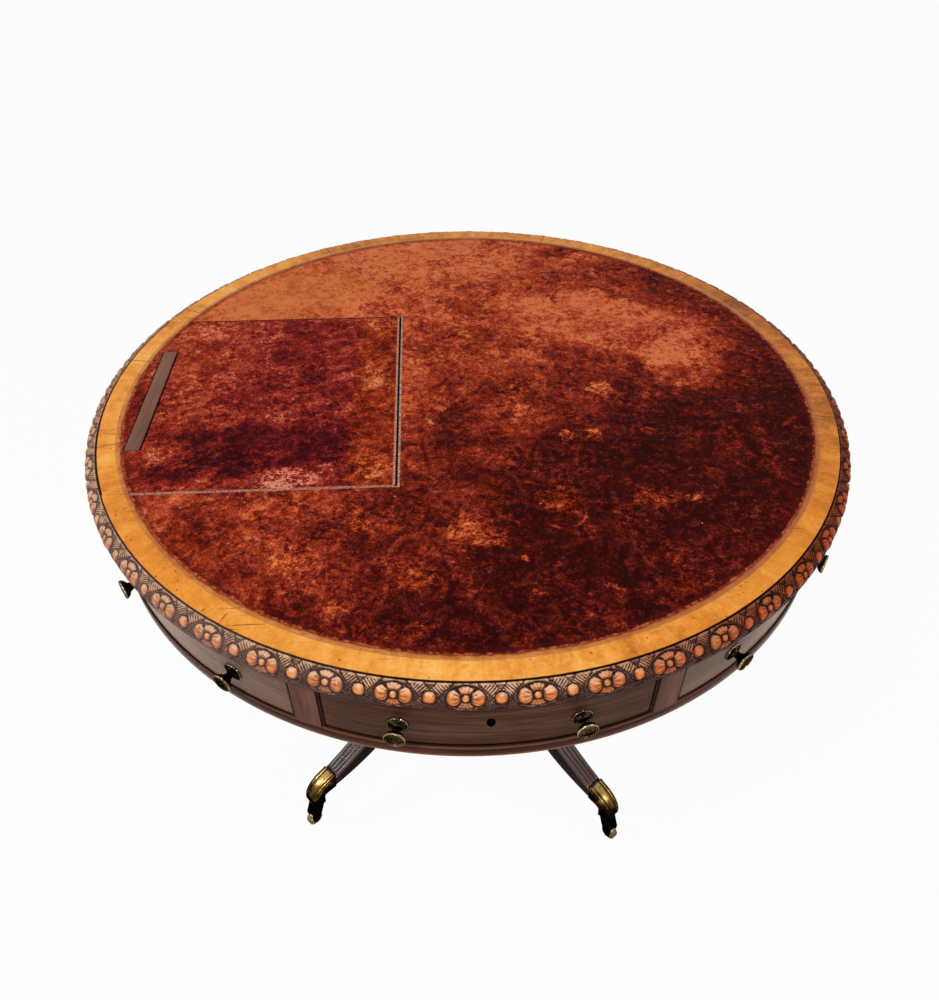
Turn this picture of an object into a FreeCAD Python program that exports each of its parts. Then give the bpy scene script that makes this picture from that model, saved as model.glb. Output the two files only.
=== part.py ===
import FreeCAD, Part
import math
import os
from FreeCAD import Vector

# Mahogany drum table with a revolving top, four working drawers between four false ones,
# a rising reading slope let into the leather, and four sabre legs on brass castors.
# Millimetres. The origin is on the floor under the column, +Z is up, the front drawer faces -Y
# and the reading slope lies on the -X side.

# Overall
table_height = 775.0
top_radius = 495.0
overrun = 5.0
run_clearance = 0.05
seat_gap = 0.3

# Top
skin_thickness = 1.5
top_board_thickness = 20.5
crossband_width = 30.5
rim_proud = 17.5
rim_height = 28.0

# Frieze
top_rail_height = 24.0
drawer_opening_height = 72.7
bottom_rail_height = 15.8
rail_width = 30.0
rail_proud = 2.0
face_inset = 0.5
stile_inset = 0.5
front_thickness = 22.0
bay_count = 8
stile_width = 31.0
stile_shift = 4.6
drawer_gap = 1.0

# Drum carcase
floor_thickness = 12.0
board_thickness = 10.0
hub_radius = 80.0
hub_height = 40.0

# Drawers
drawer_box_inset = 8.201
drawer_side_height = 58.7
drawer_side_thickness = 9.0
drawer_bottom_thickness = 6.0
drawer_bottom_rise = 5.0
drawer_back_drop = 3.0
drawer_side_clearance = 0.7
drawer_back_clearance = 4.0

# Drawer locks
lock_half_width = 25.0
lock_height = 36.0
lock_depth = 9.5
bolt_half_width = 9.0
bolt_thickness = 5.0
bolt_height = 18.0
bolt_setback = 4.5
bolt_play = 0.3
bolt_sink = 0.2
bolt_throw = 6.0
mortise_spare = 0.2
keyhole_drop = 24.0
keyhole_radius = 2.4
keyhole_slot_width = 2.2
keyhole_length = 7.0
escutcheon_wall = 1.4
escutcheon_depth = 3.0

# Knobs
knob_spread_share = 0.4955
knob_drop_share = 0.5098
knob_plate_radius = 11.8
knob_plate_thickness = 3.2
knob_neck_radius = 4.6
knob_head_radius = 12.0
knob_projection = 20.0
spindle_radius = 3.0
knob_nut_radius = 6.0
knob_nut_thickness = 4.5

# Reading slope
slope_half_width = 199.5
slope_middle_y = -8.0
slope_inner_x = 98.5
slope_thickness = 14.0
slope_inner_gap = 3.0
slope_side_gap = 0.8
slope_rim_gap = 1.5
slope_end_thickness = 6.0
slope_rebate = 10.0
hinge_corner_margin = 4.639
hinge_depth = 5.0
hinge_pin_radius = 2.5
hinge_pin_hold = 12.0
hinge_pin_reach = 7.0
hinge_plate_length = 11.0
hinge_plate_height = 8.0
hinge_plate_thickness = 3.0
slope_lift_deg = 30.0
pocket_side_margin = 7.5
pocket_wall = 3.0
pocket_floor = 8.0
turning_room = 15.0

# Slope well and strut
well_depth = 27.0
well_floor_thickness = 6.0
well_wall = 6.0
strut_thickness = 7.0
strut_drop = 18.0
strut_reach_share = 0.3545
strut_extra_length = 3.5
strut_width_share = 0.5263
strut_arm_width = 14.0
strut_foot_rail = 12.0
strut_pin_radius = 2.0
lug_thickness = 6.0
lug_radius = 5.0
lug_gap = 0.5
rack_width = 30.0
rack_inset = 5.0
rack_foot_gap = 0.8
rack_tooth_height = 3.0
rack_tooth_count = 4
rack_flat_share = 0.25
rack_lead = 6.0

# Book ledge
ledge_width = 21.0
ledge_length_share = 0.584
ledge_thickness = 6.0
ledge_leather_margin = 2.0
ledge_nail_gap = 2.2
ledge_end_gap = 0.4
ledge_pin_radius = 1.4
ledge_pin_reach = 5.0

# Base
base_turn_deg = -5.6
leg_count = 4
column_bottom = 214.0
block_radius = 62.0
bearer_radius = 150.0
bearer_thickness = 29.0
bearer_edge_step = 6.0
capital_radius = 76.0
spigot_radius = 16.0
spigot_flange_radius = 45.0
spigot_flange_thickness = 5.0
spigot_thread_radius = 12.0
spigot_thread_length = 19.0
washer_radius = 26.0
washer_thickness = 2.0
washer_lift = 0.6
nut_radius = 19.0
nut_height = 12.0
nut_side_count = 6

# Legs, given from the column's axis to the toe
leg_reach = 352.0
leg_rise = 292.0
leg_root_width = 42.0
leg_toe_width = 29.2
cap_lap = 27.0
cap_wall = 2.0
cap_nose = 23.5
cap_top = 115.0
cap_bottom = 62.0

# Castors
castor_nose = 9.0
castor_trail = 12.5
castor_wheel_radius = 13.0
castor_wheel_width = 13.0
castor_cheek = 3.0
castor_play = 0.5
castor_axle_radius = 3.0
castor_axle_head = 1.5
castor_pin_radius = 4.0
castor_pin_length = 16.0
castor_plate_radius = 11.0
castor_plate_thickness = 4.0
castor_plate_lip = 0.6
castor_crown_gap = 4.0
castor_fork_foot = 6.0
castor_fork_head = 7.5

# Leg brace and finial
brace_thickness = 3.0
brace_reach = 100.0
brace_arm_width = 30.0
brace_hub_radius = 36.0
screw_radius = 2.5
screw_length = 22.0
screw_head_radius = 5.0
screw_head_height = 2.0
screw_place_shares = (0.52, 0.86)
finial_radius = 30.0
finial_height = 44.0

# Levels worked out from the sizes above
z_top = table_height
z_board_top = z_top - skin_thickness
z_board_bottom = z_board_top - top_board_thickness
z_opening_top = z_board_bottom - top_rail_height
z_opening_bottom = z_opening_top - drawer_opening_height
z_drum_bottom = z_opening_bottom - bottom_rail_height
rail_outer = top_radius + rail_proud
rail_inner = rail_outer - rail_width
face_radius = top_radius - face_inset
front_back_radius = face_radius - front_thickness
stile_outer = rail_outer - stile_inset
leather_radius = top_radius - crossband_width
full_turn = 360.0
bay_deg = full_turn / bay_count
stile_half_deg = math.degrees(stile_width / rail_outer) / 2
stile_shift_deg = math.degrees(stile_shift / rail_outer)
opening_half_deg = bay_deg / 2 + stile_shift_deg - stile_half_deg
false_half_deg = bay_deg / 2 - stile_shift_deg - stile_half_deg
drawer_half_width = front_back_radius * math.sin(math.radians(opening_half_deg)) - drawer_box_inset
core_half_width = drawer_half_width + drawer_side_clearance + board_thickness + seat_gap
front_half_deg = opening_half_deg - math.degrees(drawer_gap / face_radius)
quarter = full_turn / leg_count
knob_deg = knob_spread_share * bay_deg / 2
z_knob = z_opening_top - knob_drop_share * drawer_opening_height
z_hinge = z_top - hinge_depth
y_hinge_corner = slope_half_width + abs(slope_middle_y) + slope_side_gap + hinge_plate_thickness
x_hinge_corner = math.sqrt((top_radius - hinge_corner_margin) ** 2 - y_hinge_corner ** 2)
x_hinge = hinge_plate_length / 2 - x_hinge_corner
z_slope_bottom = z_top - slope_thickness
strut_pivot_reach = strut_reach_share * (-x_hinge - slope_inner_x)
strut_half_width = strut_width_share * slope_half_width
ledge_half_length = ledge_length_share * slope_half_width
pocket_half_width = slope_half_width - pocket_side_margin
cap_start = leg_reach - cap_lap
cap_end = leg_reach + cap_nose
castor_offset = leg_reach + castor_nose
up = Vector(0, 0, 1)
centre = Vector(0, 0, 0)


def block(x_low, x_high, y_low, y_high, z_low, z_high):
    """Rectangular piece between two corners."""
    return Part.makeBox(x_high - x_low, y_high - y_low, z_high - z_low, Vector(x_low, y_low, z_low))


def rod(radius, z_low, z_high, x=0.0, y=0.0):
    """Upright round bar."""
    return Part.makeCylinder(radius, z_high - z_low, Vector(x, y, z_low), up)


def cross_rod(radius, x, z, y_low, y_high):
    """Round bar lying along Y."""
    return Part.makeCylinder(radius, y_high - y_low, Vector(x, y_low, z), Vector(0, 1, 0))


def hoop(r_in, r_out, z_low, z_high):
    """Flat ring round the drum's axis."""
    return rod(r_out, z_low, z_high).cut(rod(r_in, z_low - overrun, z_high + overrun))


def spun(shape, degrees):
    """Copy of a shape turned about the drum's axis."""
    turned = shape.copy()
    turned.rotate(centre, up, degrees)
    return turned


def curved_block(r_in, r_out, mid_deg, half_deg, z_low, z_high):
    """Curved piece of the frieze, mid_deg round from the front towards +X."""
    wedge = Part.makeCylinder(r_out, z_high - z_low, Vector(0, 0, z_low), up, 2 * half_deg)
    wedge = wedge.cut(rod(r_in, z_low - overrun, z_high + overrun))
    return spun(wedge, mid_deg - half_deg - quarter)


def turning(stretches):
    """Lathe work: each stretch of (radius, height) points is a straight line or a smooth curve."""
    first = stretches[0][0]
    last = stretches[-1][-1]
    edges = [Part.LineSegment(Vector(0, 0, first[1]), Vector(first[0], 0, first[1])).toShape()]
    for stretch in stretches:
        points = [Vector(r, 0, z) for r, z in stretch]
        if len(points) == 2:
            edges.append(Part.LineSegment(points[0], points[1]).toShape())
        else:
            edges.append(smooth_edge(points))
    edges.append(Part.LineSegment(Vector(last[0], 0, last[1]), Vector(0, 0, last[1])).toShape())
    edges.append(Part.LineSegment(Vector(0, 0, last[1]), Vector(0, 0, first[1])).toShape())
    face = Part.Face(Part.Wire(edges))
    return face.revolve(centre, up, full_turn)


def outline_prism(points, y_low, y_high):
    """Flat shape in the X-Z plane given a thickness along Y."""
    corners = [Vector(x, y_low, z) for x, z in points]
    face = Part.Face(Part.makePolygon(corners + corners[:1]))
    return face.extrude(Vector(0, y_high - y_low, 0))


def smooth_edge(points):
    """Smooth curve through a few points."""
    curve = Part.BSplineCurve()
    curve.interpolate(points)
    return curve.toShape()


def scaled(stretches, r_unit, z_start, z_unit):
    """Turning stretches given as shares, brought to size."""
    return [[(r_unit * r, z_start + z_unit * z) for r, z in stretch] for stretch in stretches]


def without(shape, tools):
    """Shape with a list of others taken out of it."""
    for tool in tools:
        shape = shape.cut(tool)
    return shape


def save(name, pieces):
    """Write one node, a single solid or a group of like ones."""
    if isinstance(pieces, list):
        shape = Part.makeCompound(pieces)
    else:
        shape = pieces
    shape.exportStep("parts/" + name + ".step")
    print(name, "solids", len(shape.Solids), "valid", shape.isValid(), "volume", round(shape.Volume))


def slope_block(x_low, x_high, y_low, y_high, z_low, z_high):
    """Rectangular piece placed from the middle line of the reading slope."""
    return block(x_low, x_high, slope_middle_y + y_low, slope_middle_y + y_high, z_low, z_high)


def slope_rod(radius, x, z, y_low, y_high):
    """Round bar along Y placed from the middle line of the reading slope."""
    return cross_rod(radius, x, z, slope_middle_y + y_low, slope_middle_y + y_high)


def slope_plan(x_inner, half_width, r_out, z_low, z_high):
    """Part of the round top that the reading slope takes up, as a solid between two levels."""
    piece = slope_block(-r_out - overrun, -x_inner, -half_width, half_width, z_low, z_high)
    return piece.common(rod(r_out, z_low, z_high))


# Top board: solid mahogany, open on the -X side for the slope, rebated to carry it
def make_top_board():
    opening = slope_plan(slope_inner_x - slope_inner_gap, slope_half_width + slope_side_gap,
                         top_radius + overrun, z_slope_bottom - seat_gap, z_board_top + overrun)
    lower = slope_plan(slope_inner_x + slope_rebate, slope_half_width - slope_rebate,
                       top_radius + overrun, z_board_bottom - overrun, z_board_top)
    swing = slope_plan(-(x_hinge + turning_room), slope_half_width + slope_side_gap,
                       top_radius + overrun, z_board_bottom - overrun, z_board_top)
    board = rod(top_radius, z_board_bottom, z_board_top)
    board = board.cut(opening).cut(lower).cut(swing)
    for plate in hinge_plate_blanks():
        board = board.cut(plate)
    reach = slope_half_width + hinge_pin_reach + overrun
    hole = slope_rod(hinge_pin_radius + run_clearance, x_hinge, z_hinge, -reach, reach)
    return board.cut(hole)


def hinge_plate_blanks():
    """Brass plates let into the two edges of the opening, before they are bored."""
    near = slope_half_width + slope_side_gap
    blanks = []
    for low in (near, -near - hinge_plate_thickness):
        blanks.append(slope_block(x_hinge - hinge_plate_length / 2, x_hinge + hinge_plate_length / 2,
                                  low, low + hinge_plate_thickness,
                                  z_board_top - hinge_plate_height, z_board_top))
    return blanks


def make_hinge_plates():
    reach = slope_half_width + hinge_pin_reach + overrun
    hole = slope_rod(hinge_pin_radius + run_clearance, x_hinge, z_hinge, -reach, reach)
    return [plate.cut(hole) for plate in hinge_plate_blanks()]


def slope_opening_skin():
    """Gap that the slope needs in the leather and the crossbanding."""
    return slope_plan(slope_inner_x - slope_inner_gap, slope_half_width + slope_side_gap,
                      top_radius + overrun, z_board_top - overrun, z_top + overrun)


# Shares of how far the moulding stands out, and of its height, from its quirk to its foot
rim_shares = ((0.085, 0.013), (0.74, 0.2), (1.0, 0.58), (0.915, 1.0))


def make_carved_rim():
    """Thumb moulding round the edge of the top, lapping the frieze below."""
    crown = [(top_radius + rim_proud * a, z_top - rim_height * b) for a, b in rim_shares]
    inner = [crown[-1], (rail_outer, crown[-1][1]), (rail_outer, z_board_bottom),
             (top_radius, z_board_bottom), (top_radius, crown[0][1]), crown[0]]
    edges = [smooth_edge([Vector(r, 0, z) for r, z in crown])]
    for start, end in zip(inner, inner[1:]):
        edges.append(Part.LineSegment(Vector(start[0], 0, start[1]), Vector(end[0], 0, end[1])).toShape())
    return Part.Face(Part.Wire(edges)).revolve(centre, up, full_turn)


# Frieze rails, stiles and fronts
def make_top_rail():
    """Upper hoop of the frieze, notched for the slope's end and mortised for the lock bolts."""
    rail = hoop(rail_inner, rail_outer, z_opening_top, z_board_bottom)
    pocket = slope_plan(-(x_hinge + turning_room), pocket_half_width, rail_outer - pocket_wall,
                        z_opening_top + pocket_floor, z_board_bottom + overrun)
    rail = rail.cut(pocket)
    for turn_deg in drawer_turns():
        rail = rail.cut(spun(bolt_mortise(), turn_deg))
    return rail


def drawer_turns():
    """Turn from the front drawer to each working drawer: front, right, back and left."""
    return [quarter * place for place in range(leg_count)]


def bolt_mortise():
    y_mid = bolt_middle()
    half = bolt_thickness / 2 + bolt_play
    height = bolt_throw + mortise_spare
    return block(-bolt_half_width - bolt_play, bolt_half_width + bolt_play, y_mid - half, y_mid + half,
                 z_opening_top - overrun, z_opening_top + height)


def bolt_middle():
    """Place of a lock bolt along Y, in the front drawer."""
    return -(front_back_radius + lock_depth - bolt_setback)


def make_stiles():
    """Eight uprights, in pairs a little further from the working drawers than from the false ones."""
    stiles = []
    for turn_deg in drawer_turns():
        for side in (-1, 1):
            mid_deg = turn_deg + side * (bay_deg / 2 + stile_shift_deg)
            stiles.append(curved_block(rail_inner, stile_outer, mid_deg, stile_half_deg,
                                       z_opening_bottom, z_opening_top))
    return stiles


def make_false_fronts():
    """Fixed curved fronts on the diagonals, bored for their knobs."""
    front = curved_block(front_back_radius, face_radius, 0, false_half_deg,
                         z_opening_bottom, z_opening_top)
    for side in (-1, 1):
        front = front.cut(spindle_hole(side))
    return [spun(front, turn_deg + bay_deg) for turn_deg in drawer_turns()]


def spindle_hole(side):
    hole = Part.makeCylinder(spindle_radius, front_thickness + 2 * overrun,
                             Vector(0, -face_radius - overrun, z_knob), Vector(0, 1, 0))
    return spun(hole, side * knob_deg)


# Shares of the head's radius, and of the way from the back plate to the knob's face
knob_head_shares = (((0.38, 0.42), (0.52, 0.56), (0.86, 0.72), (1.0, 0.93)),
                    ((1.0, 0.93), (0.92, 1.0)), ((0.92, 1.0), (0.74, 1.0)),
                    ((0.74, 1.0), (0.62, 0.94)), ((0.62, 0.94), (0.2, 1.0)))


def make_knob(side):
    """Turned brass knob on the front drawer: back plate, neck, bell head, spindle and nut."""
    spindle = [[(spindle_radius, -front_thickness - knob_nut_thickness), (spindle_radius, 0)],
               [(spindle_radius, 0), (knob_plate_radius, 0)],
               [(knob_plate_radius, 0), (knob_plate_radius, knob_plate_thickness / 2)],
               [(knob_plate_radius, knob_plate_thickness / 2), (knob_neck_radius, knob_plate_thickness)]]
    head = scaled(knob_head_shares, knob_head_radius, knob_plate_thickness,
                  knob_projection - knob_plate_thickness)
    neck = [[(knob_neck_radius, knob_plate_thickness), head[0][0]]]
    knob = turning(spindle + neck + head)
    nut = rod(knob_nut_radius, -front_thickness - knob_nut_thickness, -front_thickness)
    nut = nut.cut(rod(spindle_radius, -front_thickness - overrun - knob_nut_thickness, 0))
    pieces = []
    for piece in (knob, nut):
        piece.rotate(centre, Vector(1, 0, 0), quarter)
        piece.translate(Vector(0, -face_radius, z_knob))
        pieces.append(spun(piece, side * knob_deg))
    pieces[1] = pieces[1].cut(front_ring())
    return pieces


def front_ring():
    """Space that the curved front takes, so that a nut beds on its back."""
    return hoop(front_back_radius, face_radius, z_opening_bottom, z_opening_top)


# Working drawers, made at the front and turned into place
def keyhole_shape(grow, y_low, y_high):
    """Keyhole with its slot, seen from the front, grown all round."""
    z_eye = z_opening_top - keyhole_drop
    eye = cross_rod(keyhole_radius + grow, 0, z_eye, y_low, y_high)
    half = keyhole_slot_width / 2 + grow
    slot = block(-half, half, y_low, y_high, z_eye - keyhole_length, z_eye)
    foot = cross_rod(half, 0, z_eye - keyhole_length, y_low, y_high)
    return eye.fuse(slot).fuse(foot).removeSplitter()


def lock_pocket(grow_back):
    """Recess in the back of a drawer front that holds its lock."""
    y_low = -(front_back_radius + lock_depth)
    z_high = z_opening_top - drawer_gap
    return block(-lock_half_width, lock_half_width, y_low, y_low + lock_depth + grow_back,
                 z_high - lock_height, z_high)


def make_drawer_front():
    z_low = z_opening_bottom + drawer_gap
    z_high = z_opening_top - drawer_gap
    front = curved_block(front_back_radius, face_radius, 0, front_half_deg, z_low, z_high)
    front = front.cut(lock_pocket(front_thickness + lock_depth))
    front = front.cut(keyhole_shape(0, -face_radius - overrun, -front_back_radius))
    front = front.cut(keyhole_shape(escutcheon_wall, -face_radius - overrun, -face_radius + escutcheon_depth))
    for side in (-1, 1):
        front = front.cut(spindle_hole(side))
    return front


def make_drawer_box():
    """Oak drawer lining: two sides, a back and a bottom, closed in front by the curved face."""
    z_low = z_opening_bottom + seat_gap
    z_high = z_low + drawer_side_height
    y_back = -(core_half_width + drawer_back_clearance)
    y_front = -face_radius
    inner = drawer_half_width - drawer_side_thickness
    z_bottom = z_low + drawer_bottom_rise
    pieces = []
    for x_low in (-drawer_half_width, inner):
        pieces.append(block(x_low, x_low + drawer_side_thickness, y_front, y_back, z_low, z_high))
    pieces.append(block(-inner, inner, y_back - drawer_side_thickness, y_back,
                        z_low, z_high - drawer_back_drop))
    pieces.append(block(-inner, inner, y_front, y_back - drawer_side_thickness, z_bottom,
                        z_bottom + drawer_bottom_thickness))
    box = pieces[0].multiFuse(pieces[1:]).removeSplitter()
    return box.common(rod(front_back_radius, z_low - overrun, z_high + overrun))


def make_drawer_brass():
    """Two knobs with their nuts, the keyhole escutcheon and the lock case."""
    pieces = make_knob(-1) + make_knob(1)
    ring = keyhole_shape(escutcheon_wall, -face_radius, -face_radius + escutcheon_depth)
    ring = ring.cut(keyhole_shape(0, -face_radius - overrun, -front_back_radius))
    pieces.append(ring.common(rod(face_radius, 0, z_top)))
    case = lock_pocket(0)
    pieces.append(case.cut(bolt_channel()))
    return pieces


def bolt_channel():
    y_mid = bolt_middle()
    half = bolt_thickness / 2 + bolt_play
    z_high = z_opening_top
    return block(-bolt_half_width - bolt_play, bolt_half_width + bolt_play, y_mid - half, y_mid + half,
                 z_high - drawer_gap - bolt_sink - bolt_height - bolt_play, z_high + overrun)


def make_lock_bolt():
    y_mid = bolt_middle()
    half = bolt_thickness / 2
    z_high = z_opening_top - drawer_gap - bolt_sink
    return block(-bolt_half_width, bolt_half_width, y_mid - half, y_mid + half, z_high - bolt_height, z_high)


# Carcase inside the drum
def make_drum_floor():
    return hoop(spigot_radius + run_clearance, rail_inner,
                z_opening_bottom - floor_thickness, z_opening_bottom)


def make_guides():
    """Eight boards that stand on the floor beside the drawers."""
    guides = []
    near = drawer_half_width + drawer_side_clearance
    for turn_deg in drawer_turns():
        for x_low in (near, -near - board_thickness):
            board = block(x_low, x_low + board_thickness, -rail_inner, -core_half_width,
                          z_opening_bottom, z_opening_top)
            guides.append(spun(board.common(rod(rail_inner, z_opening_bottom, z_opening_top)), turn_deg))
    return guides


def make_core():
    """Four boards that close the inner ends of the drawer bays."""
    inner = core_half_width - board_thickness
    boards = []
    for sign in (-1, 1):
        low = min(sign * inner, sign * core_half_width)
        boards.append(block(-core_half_width, core_half_width, low, low + board_thickness,
                            z_opening_bottom, z_opening_top))
        boards.append(block(low, low + board_thickness, -inner, inner, z_opening_bottom, z_opening_top))
    return boards


def make_hub():
    return hoop(spigot_radius + run_clearance, hub_radius, z_opening_bottom, z_opening_bottom + hub_height)


# Reading slope
def slope_piece(r_in, r_out, z_low, z_high):
    piece = slope_plan(slope_inner_x, slope_half_width, r_out, z_low, z_high)
    if r_in:
        piece = piece.cut(rod(r_in, z_low - overrun, z_high + overrun))
    return piece


def ledge_outer_x():
    """Outer edge of the book ledge, just inside the leather at its corners."""
    corner_y = ledge_half_length + abs(slope_middle_y)
    corner = math.sqrt(leather_radius ** 2 - corner_y ** 2)
    return -(corner - ledge_leather_margin)


def ledge_recess():
    x_out = ledge_outer_x()
    half = ledge_half_length + ledge_end_gap
    return slope_block(x_out - seat_gap, x_out + ledge_width + ledge_nail_gap, -half, half,
                       z_top - ledge_thickness - seat_gap, z_top + overrun)


def make_slope_board():
    """Mahogany board with a bevelled outer end that dips below the rim as it tilts."""
    outer = top_radius - slope_rim_gap
    board = slope_piece(0, outer, z_slope_bottom, z_board_top)
    x_start = x_hinge - hinge_pin_radius - hinge_depth
    bevel = outline_prism([(x_start, z_slope_bottom), (-outer, z_top - slope_end_thickness),
                           (-outer - overrun, z_top - slope_end_thickness),
                           (-outer - overrun, z_slope_bottom - overrun), (x_start, z_slope_bottom - overrun)],
                          -top_radius, top_radius)
    board = board.cut(bevel).cut(ledge_recess())
    for pin in slope_pins():
        board = board.cut(pin)
    x_pin, z_pin = ledge_axis()
    reach = ledge_half_length + ledge_pin_reach + seat_gap
    return board.cut(slope_rod(ledge_pin_radius + run_clearance, x_pin, z_pin, -reach, reach))


def slope_pins():
    """Two brass pins fixed in the slope's side edges, on its hinge line."""
    pins = []
    for sign in (-1, 1):
        ends = (sign * (slope_half_width - hinge_pin_hold), sign * (slope_half_width + hinge_pin_reach))
        pins.append(slope_rod(hinge_pin_radius, x_hinge, z_hinge, min(ends), max(ends)))
    return pins


def ledge_axis():
    """Hinge line of the book ledge, half its thickness inside its outer edge."""
    half = ledge_thickness / 2
    return ledge_outer_x() + half, z_top - half


def make_book_ledge():
    """Flush strip that turns up to stop a book, with a rounded outer edge and two end pins."""
    x_pin, z_pin = ledge_axis()
    half = ledge_thickness / 2
    strip = slope_block(x_pin, ledge_outer_x() + ledge_width, -ledge_half_length, ledge_half_length,
                        z_top - ledge_thickness, z_top)
    edge = slope_rod(half, x_pin, z_pin, -ledge_half_length, ledge_half_length)
    reach = ledge_half_length + ledge_pin_reach
    pins = slope_rod(ledge_pin_radius, x_pin, z_pin, -reach, reach)
    return strip.fuse(edge).fuse(pins).removeSplitter()


# Strut that holds the slope up, and the well that it folds into
def strut_pivot():
    return x_hinge + strut_pivot_reach, z_top - strut_drop


def strut_foot_x():
    return x_hinge + 2 * strut_pivot_reach + strut_extra_length


def make_strut():
    """Frame of two arms and a foot rail, rounded at both ends."""
    x_pin, z_pin = strut_pivot()
    x_foot = strut_foot_x()
    half = strut_thickness / 2
    inner = strut_half_width - strut_arm_width
    frame = slope_block(x_pin, x_foot, -strut_half_width, strut_half_width, z_pin - half, z_pin + half)
    frame = frame.cut(slope_block(x_pin - overrun, x_foot - strut_foot_rail, -inner, inner,
                                  z_pin - half - overrun, z_pin + half + overrun))
    frame = frame.fuse(slope_rod(half, x_foot, z_pin, -strut_half_width, strut_half_width))
    for y_low in (-strut_half_width, inner):
        frame = frame.fuse(slope_rod(half, x_pin, z_pin, y_low, y_low + strut_arm_width))
    reach = strut_half_width + overrun
    frame = frame.removeSplitter()
    return frame.cut(slope_rod(strut_pin_radius + run_clearance, x_pin, z_pin, -reach, reach))


def make_strut_lugs():
    """Two brass lugs under the slope, each with a pin through one arm of the strut."""
    x_pin, z_pin = strut_pivot()
    near = strut_half_width + lug_gap
    slope_underside = slope_block(x_pin - 2 * lug_radius, x_pin + 2 * lug_radius, -top_radius, top_radius,
                                  z_slope_bottom, z_top)
    lugs = []
    for sign in (-1, 1):
        low, high = sorted((sign * near, sign * (near + lug_thickness)))
        start, end = sorted((sign * (strut_half_width - strut_arm_width), sign * (near + lug_thickness)))
        lug = slope_block(x_pin - lug_radius, x_pin + lug_radius, low, high, z_pin, z_slope_bottom)
        lug = lug.fuse(slope_rod(lug_radius, x_pin, z_pin, low, high).cut(slope_underside))
        lug = lug.fuse(slope_rod(strut_pin_radius, x_pin, z_pin, start, end))
        lugs.append(lug.removeSplitter())
    return lugs


def well_half_width():
    return slope_half_width - slope_rebate


def well_outer_x():
    return -(x_hinge + turning_room)


def make_slope_well():
    """Shallow tray under the top board that the strut folds into."""
    z_floor = z_top - well_depth
    x_in = slope_inner_x + slope_rebate
    half = well_half_width()
    tray = slope_block(-well_outer_x(), -x_in + well_wall, -half - well_wall, half + well_wall,
                       z_floor - well_floor_thickness, z_board_bottom)
    hollow = slope_block(-well_outer_x() + well_wall, -x_in, -half, half, z_floor, z_board_bottom + overrun)
    return tray.cut(hollow).common(rod(rail_inner, z_floor - well_floor_thickness - overrun, z_top))


def foot_place(lift_deg):
    """Middle of the strut's foot, with the slope at a given angle."""
    angle = math.radians(lift_deg)
    below = strut_drop - hinge_depth
    x = (2 * strut_pivot_reach + strut_extra_length) * math.cos(angle) + below * math.sin(angle)
    return x_hinge + x


def make_rack():
    """Two notched strips on the floor of the well, under the path of the strut's foot."""
    z_floor = z_top - well_depth
    tip = z_top - strut_drop - strut_thickness / 2 - rack_foot_gap
    root = tip - rack_tooth_height
    x_high = foot_place(0) - rack_lead / 2
    x_low = foot_place(slope_lift_deg) - rack_lead
    pitch = (x_high - x_low) / rack_tooth_count
    points = [(x_low, z_floor), (x_low, tip)]
    for tooth in range(rack_tooth_count):
        x = x_low + tooth * pitch
        points.append((x + rack_flat_share * pitch, tip))
        points.append((x + rack_flat_share * pitch, root))
        points.append((x + pitch, tip))
    points.append((x_high, z_floor))
    strips = []
    outer = strut_half_width - rack_inset
    for y_low in (-outer, outer - rack_width):
        y_near = slope_middle_y + y_low
        strips.append(outline_prism(points, y_near, y_near + rack_width))
    return strips


# Base
# Shares of the leg block's radius, and of the column's height
column_shares = (((0.94, 0.0), (1.0, 0.012)), ((1.0, 0.012), (1.0, 0.2)),
                 ((1.0, 0.2), (1.1, 0.215), (1.1, 0.235), (1.0, 0.25)), ((1.0, 0.25), (0.72, 0.25)),
                 ((0.72, 0.25), (0.56, 0.285), (0.66, 0.34), (0.86, 0.4), (0.98, 0.47),
                  (0.92, 0.56), (0.72, 0.68), (0.56, 0.79), (0.52, 0.84)),
                 ((0.52, 0.84), (0.7, 0.84)), ((0.7, 0.84), (0.78, 0.855), (0.7, 0.87)),
                 ((0.7, 0.87), (0.6, 0.875)), ((0.6, 0.875), (0.62, 0.915)))
capital_throat_share = 0.8


def make_column():
    """Turned column: leg block, rings, baluster, capital, all from one billet."""
    z_head = z_drum_bottom - seat_gap - bearer_thickness
    height = z_head - column_bottom
    stretches = scaled(column_shares, block_radius, column_bottom, height)
    foot = stretches[-1][-1]
    rim = (capital_radius, z_head - bearer_edge_step)
    step = (capital_radius * capital_throat_share, rim[1] - bearer_edge_step / 2)
    stretches.append([foot, step, rim])
    stretches.append([rim, (capital_radius, z_head)])
    return turning(stretches)


# Shares of the bearer's radius and thickness
bearer_shares = (((0.92, 0.0), (0.92, 0.2)), ((0.92, 0.2), (0.98, 0.41), (1.0, 0.7)),
                 ((1.0, 0.7), (1.0, 1.0)))


def make_bearer():
    """Round bearer block screwed to the column's head; the drum turns on it."""
    z_high = z_drum_bottom - seat_gap
    z_low = z_high - bearer_thickness
    disc = turning(scaled(bearer_shares, bearer_radius, z_low, bearer_thickness))
    return disc.cut(rod(spigot_flange_radius, z_high - spigot_flange_thickness, z_high + overrun))


def spigot_top():
    return z_opening_bottom + hub_height + washer_lift


def make_spigot():
    """Iron pin on a round flange; the drum's hub turns on it."""
    z_high = z_drum_bottom - seat_gap
    flange = rod(spigot_flange_radius, z_high - spigot_flange_thickness, z_high)
    shank = rod(spigot_radius, z_high - spigot_flange_thickness, spigot_top())
    thread = rod(spigot_thread_radius, spigot_top() - overrun, spigot_top() + spigot_thread_length)
    return flange.fuse(shank).fuse(thread).removeSplitter()


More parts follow.
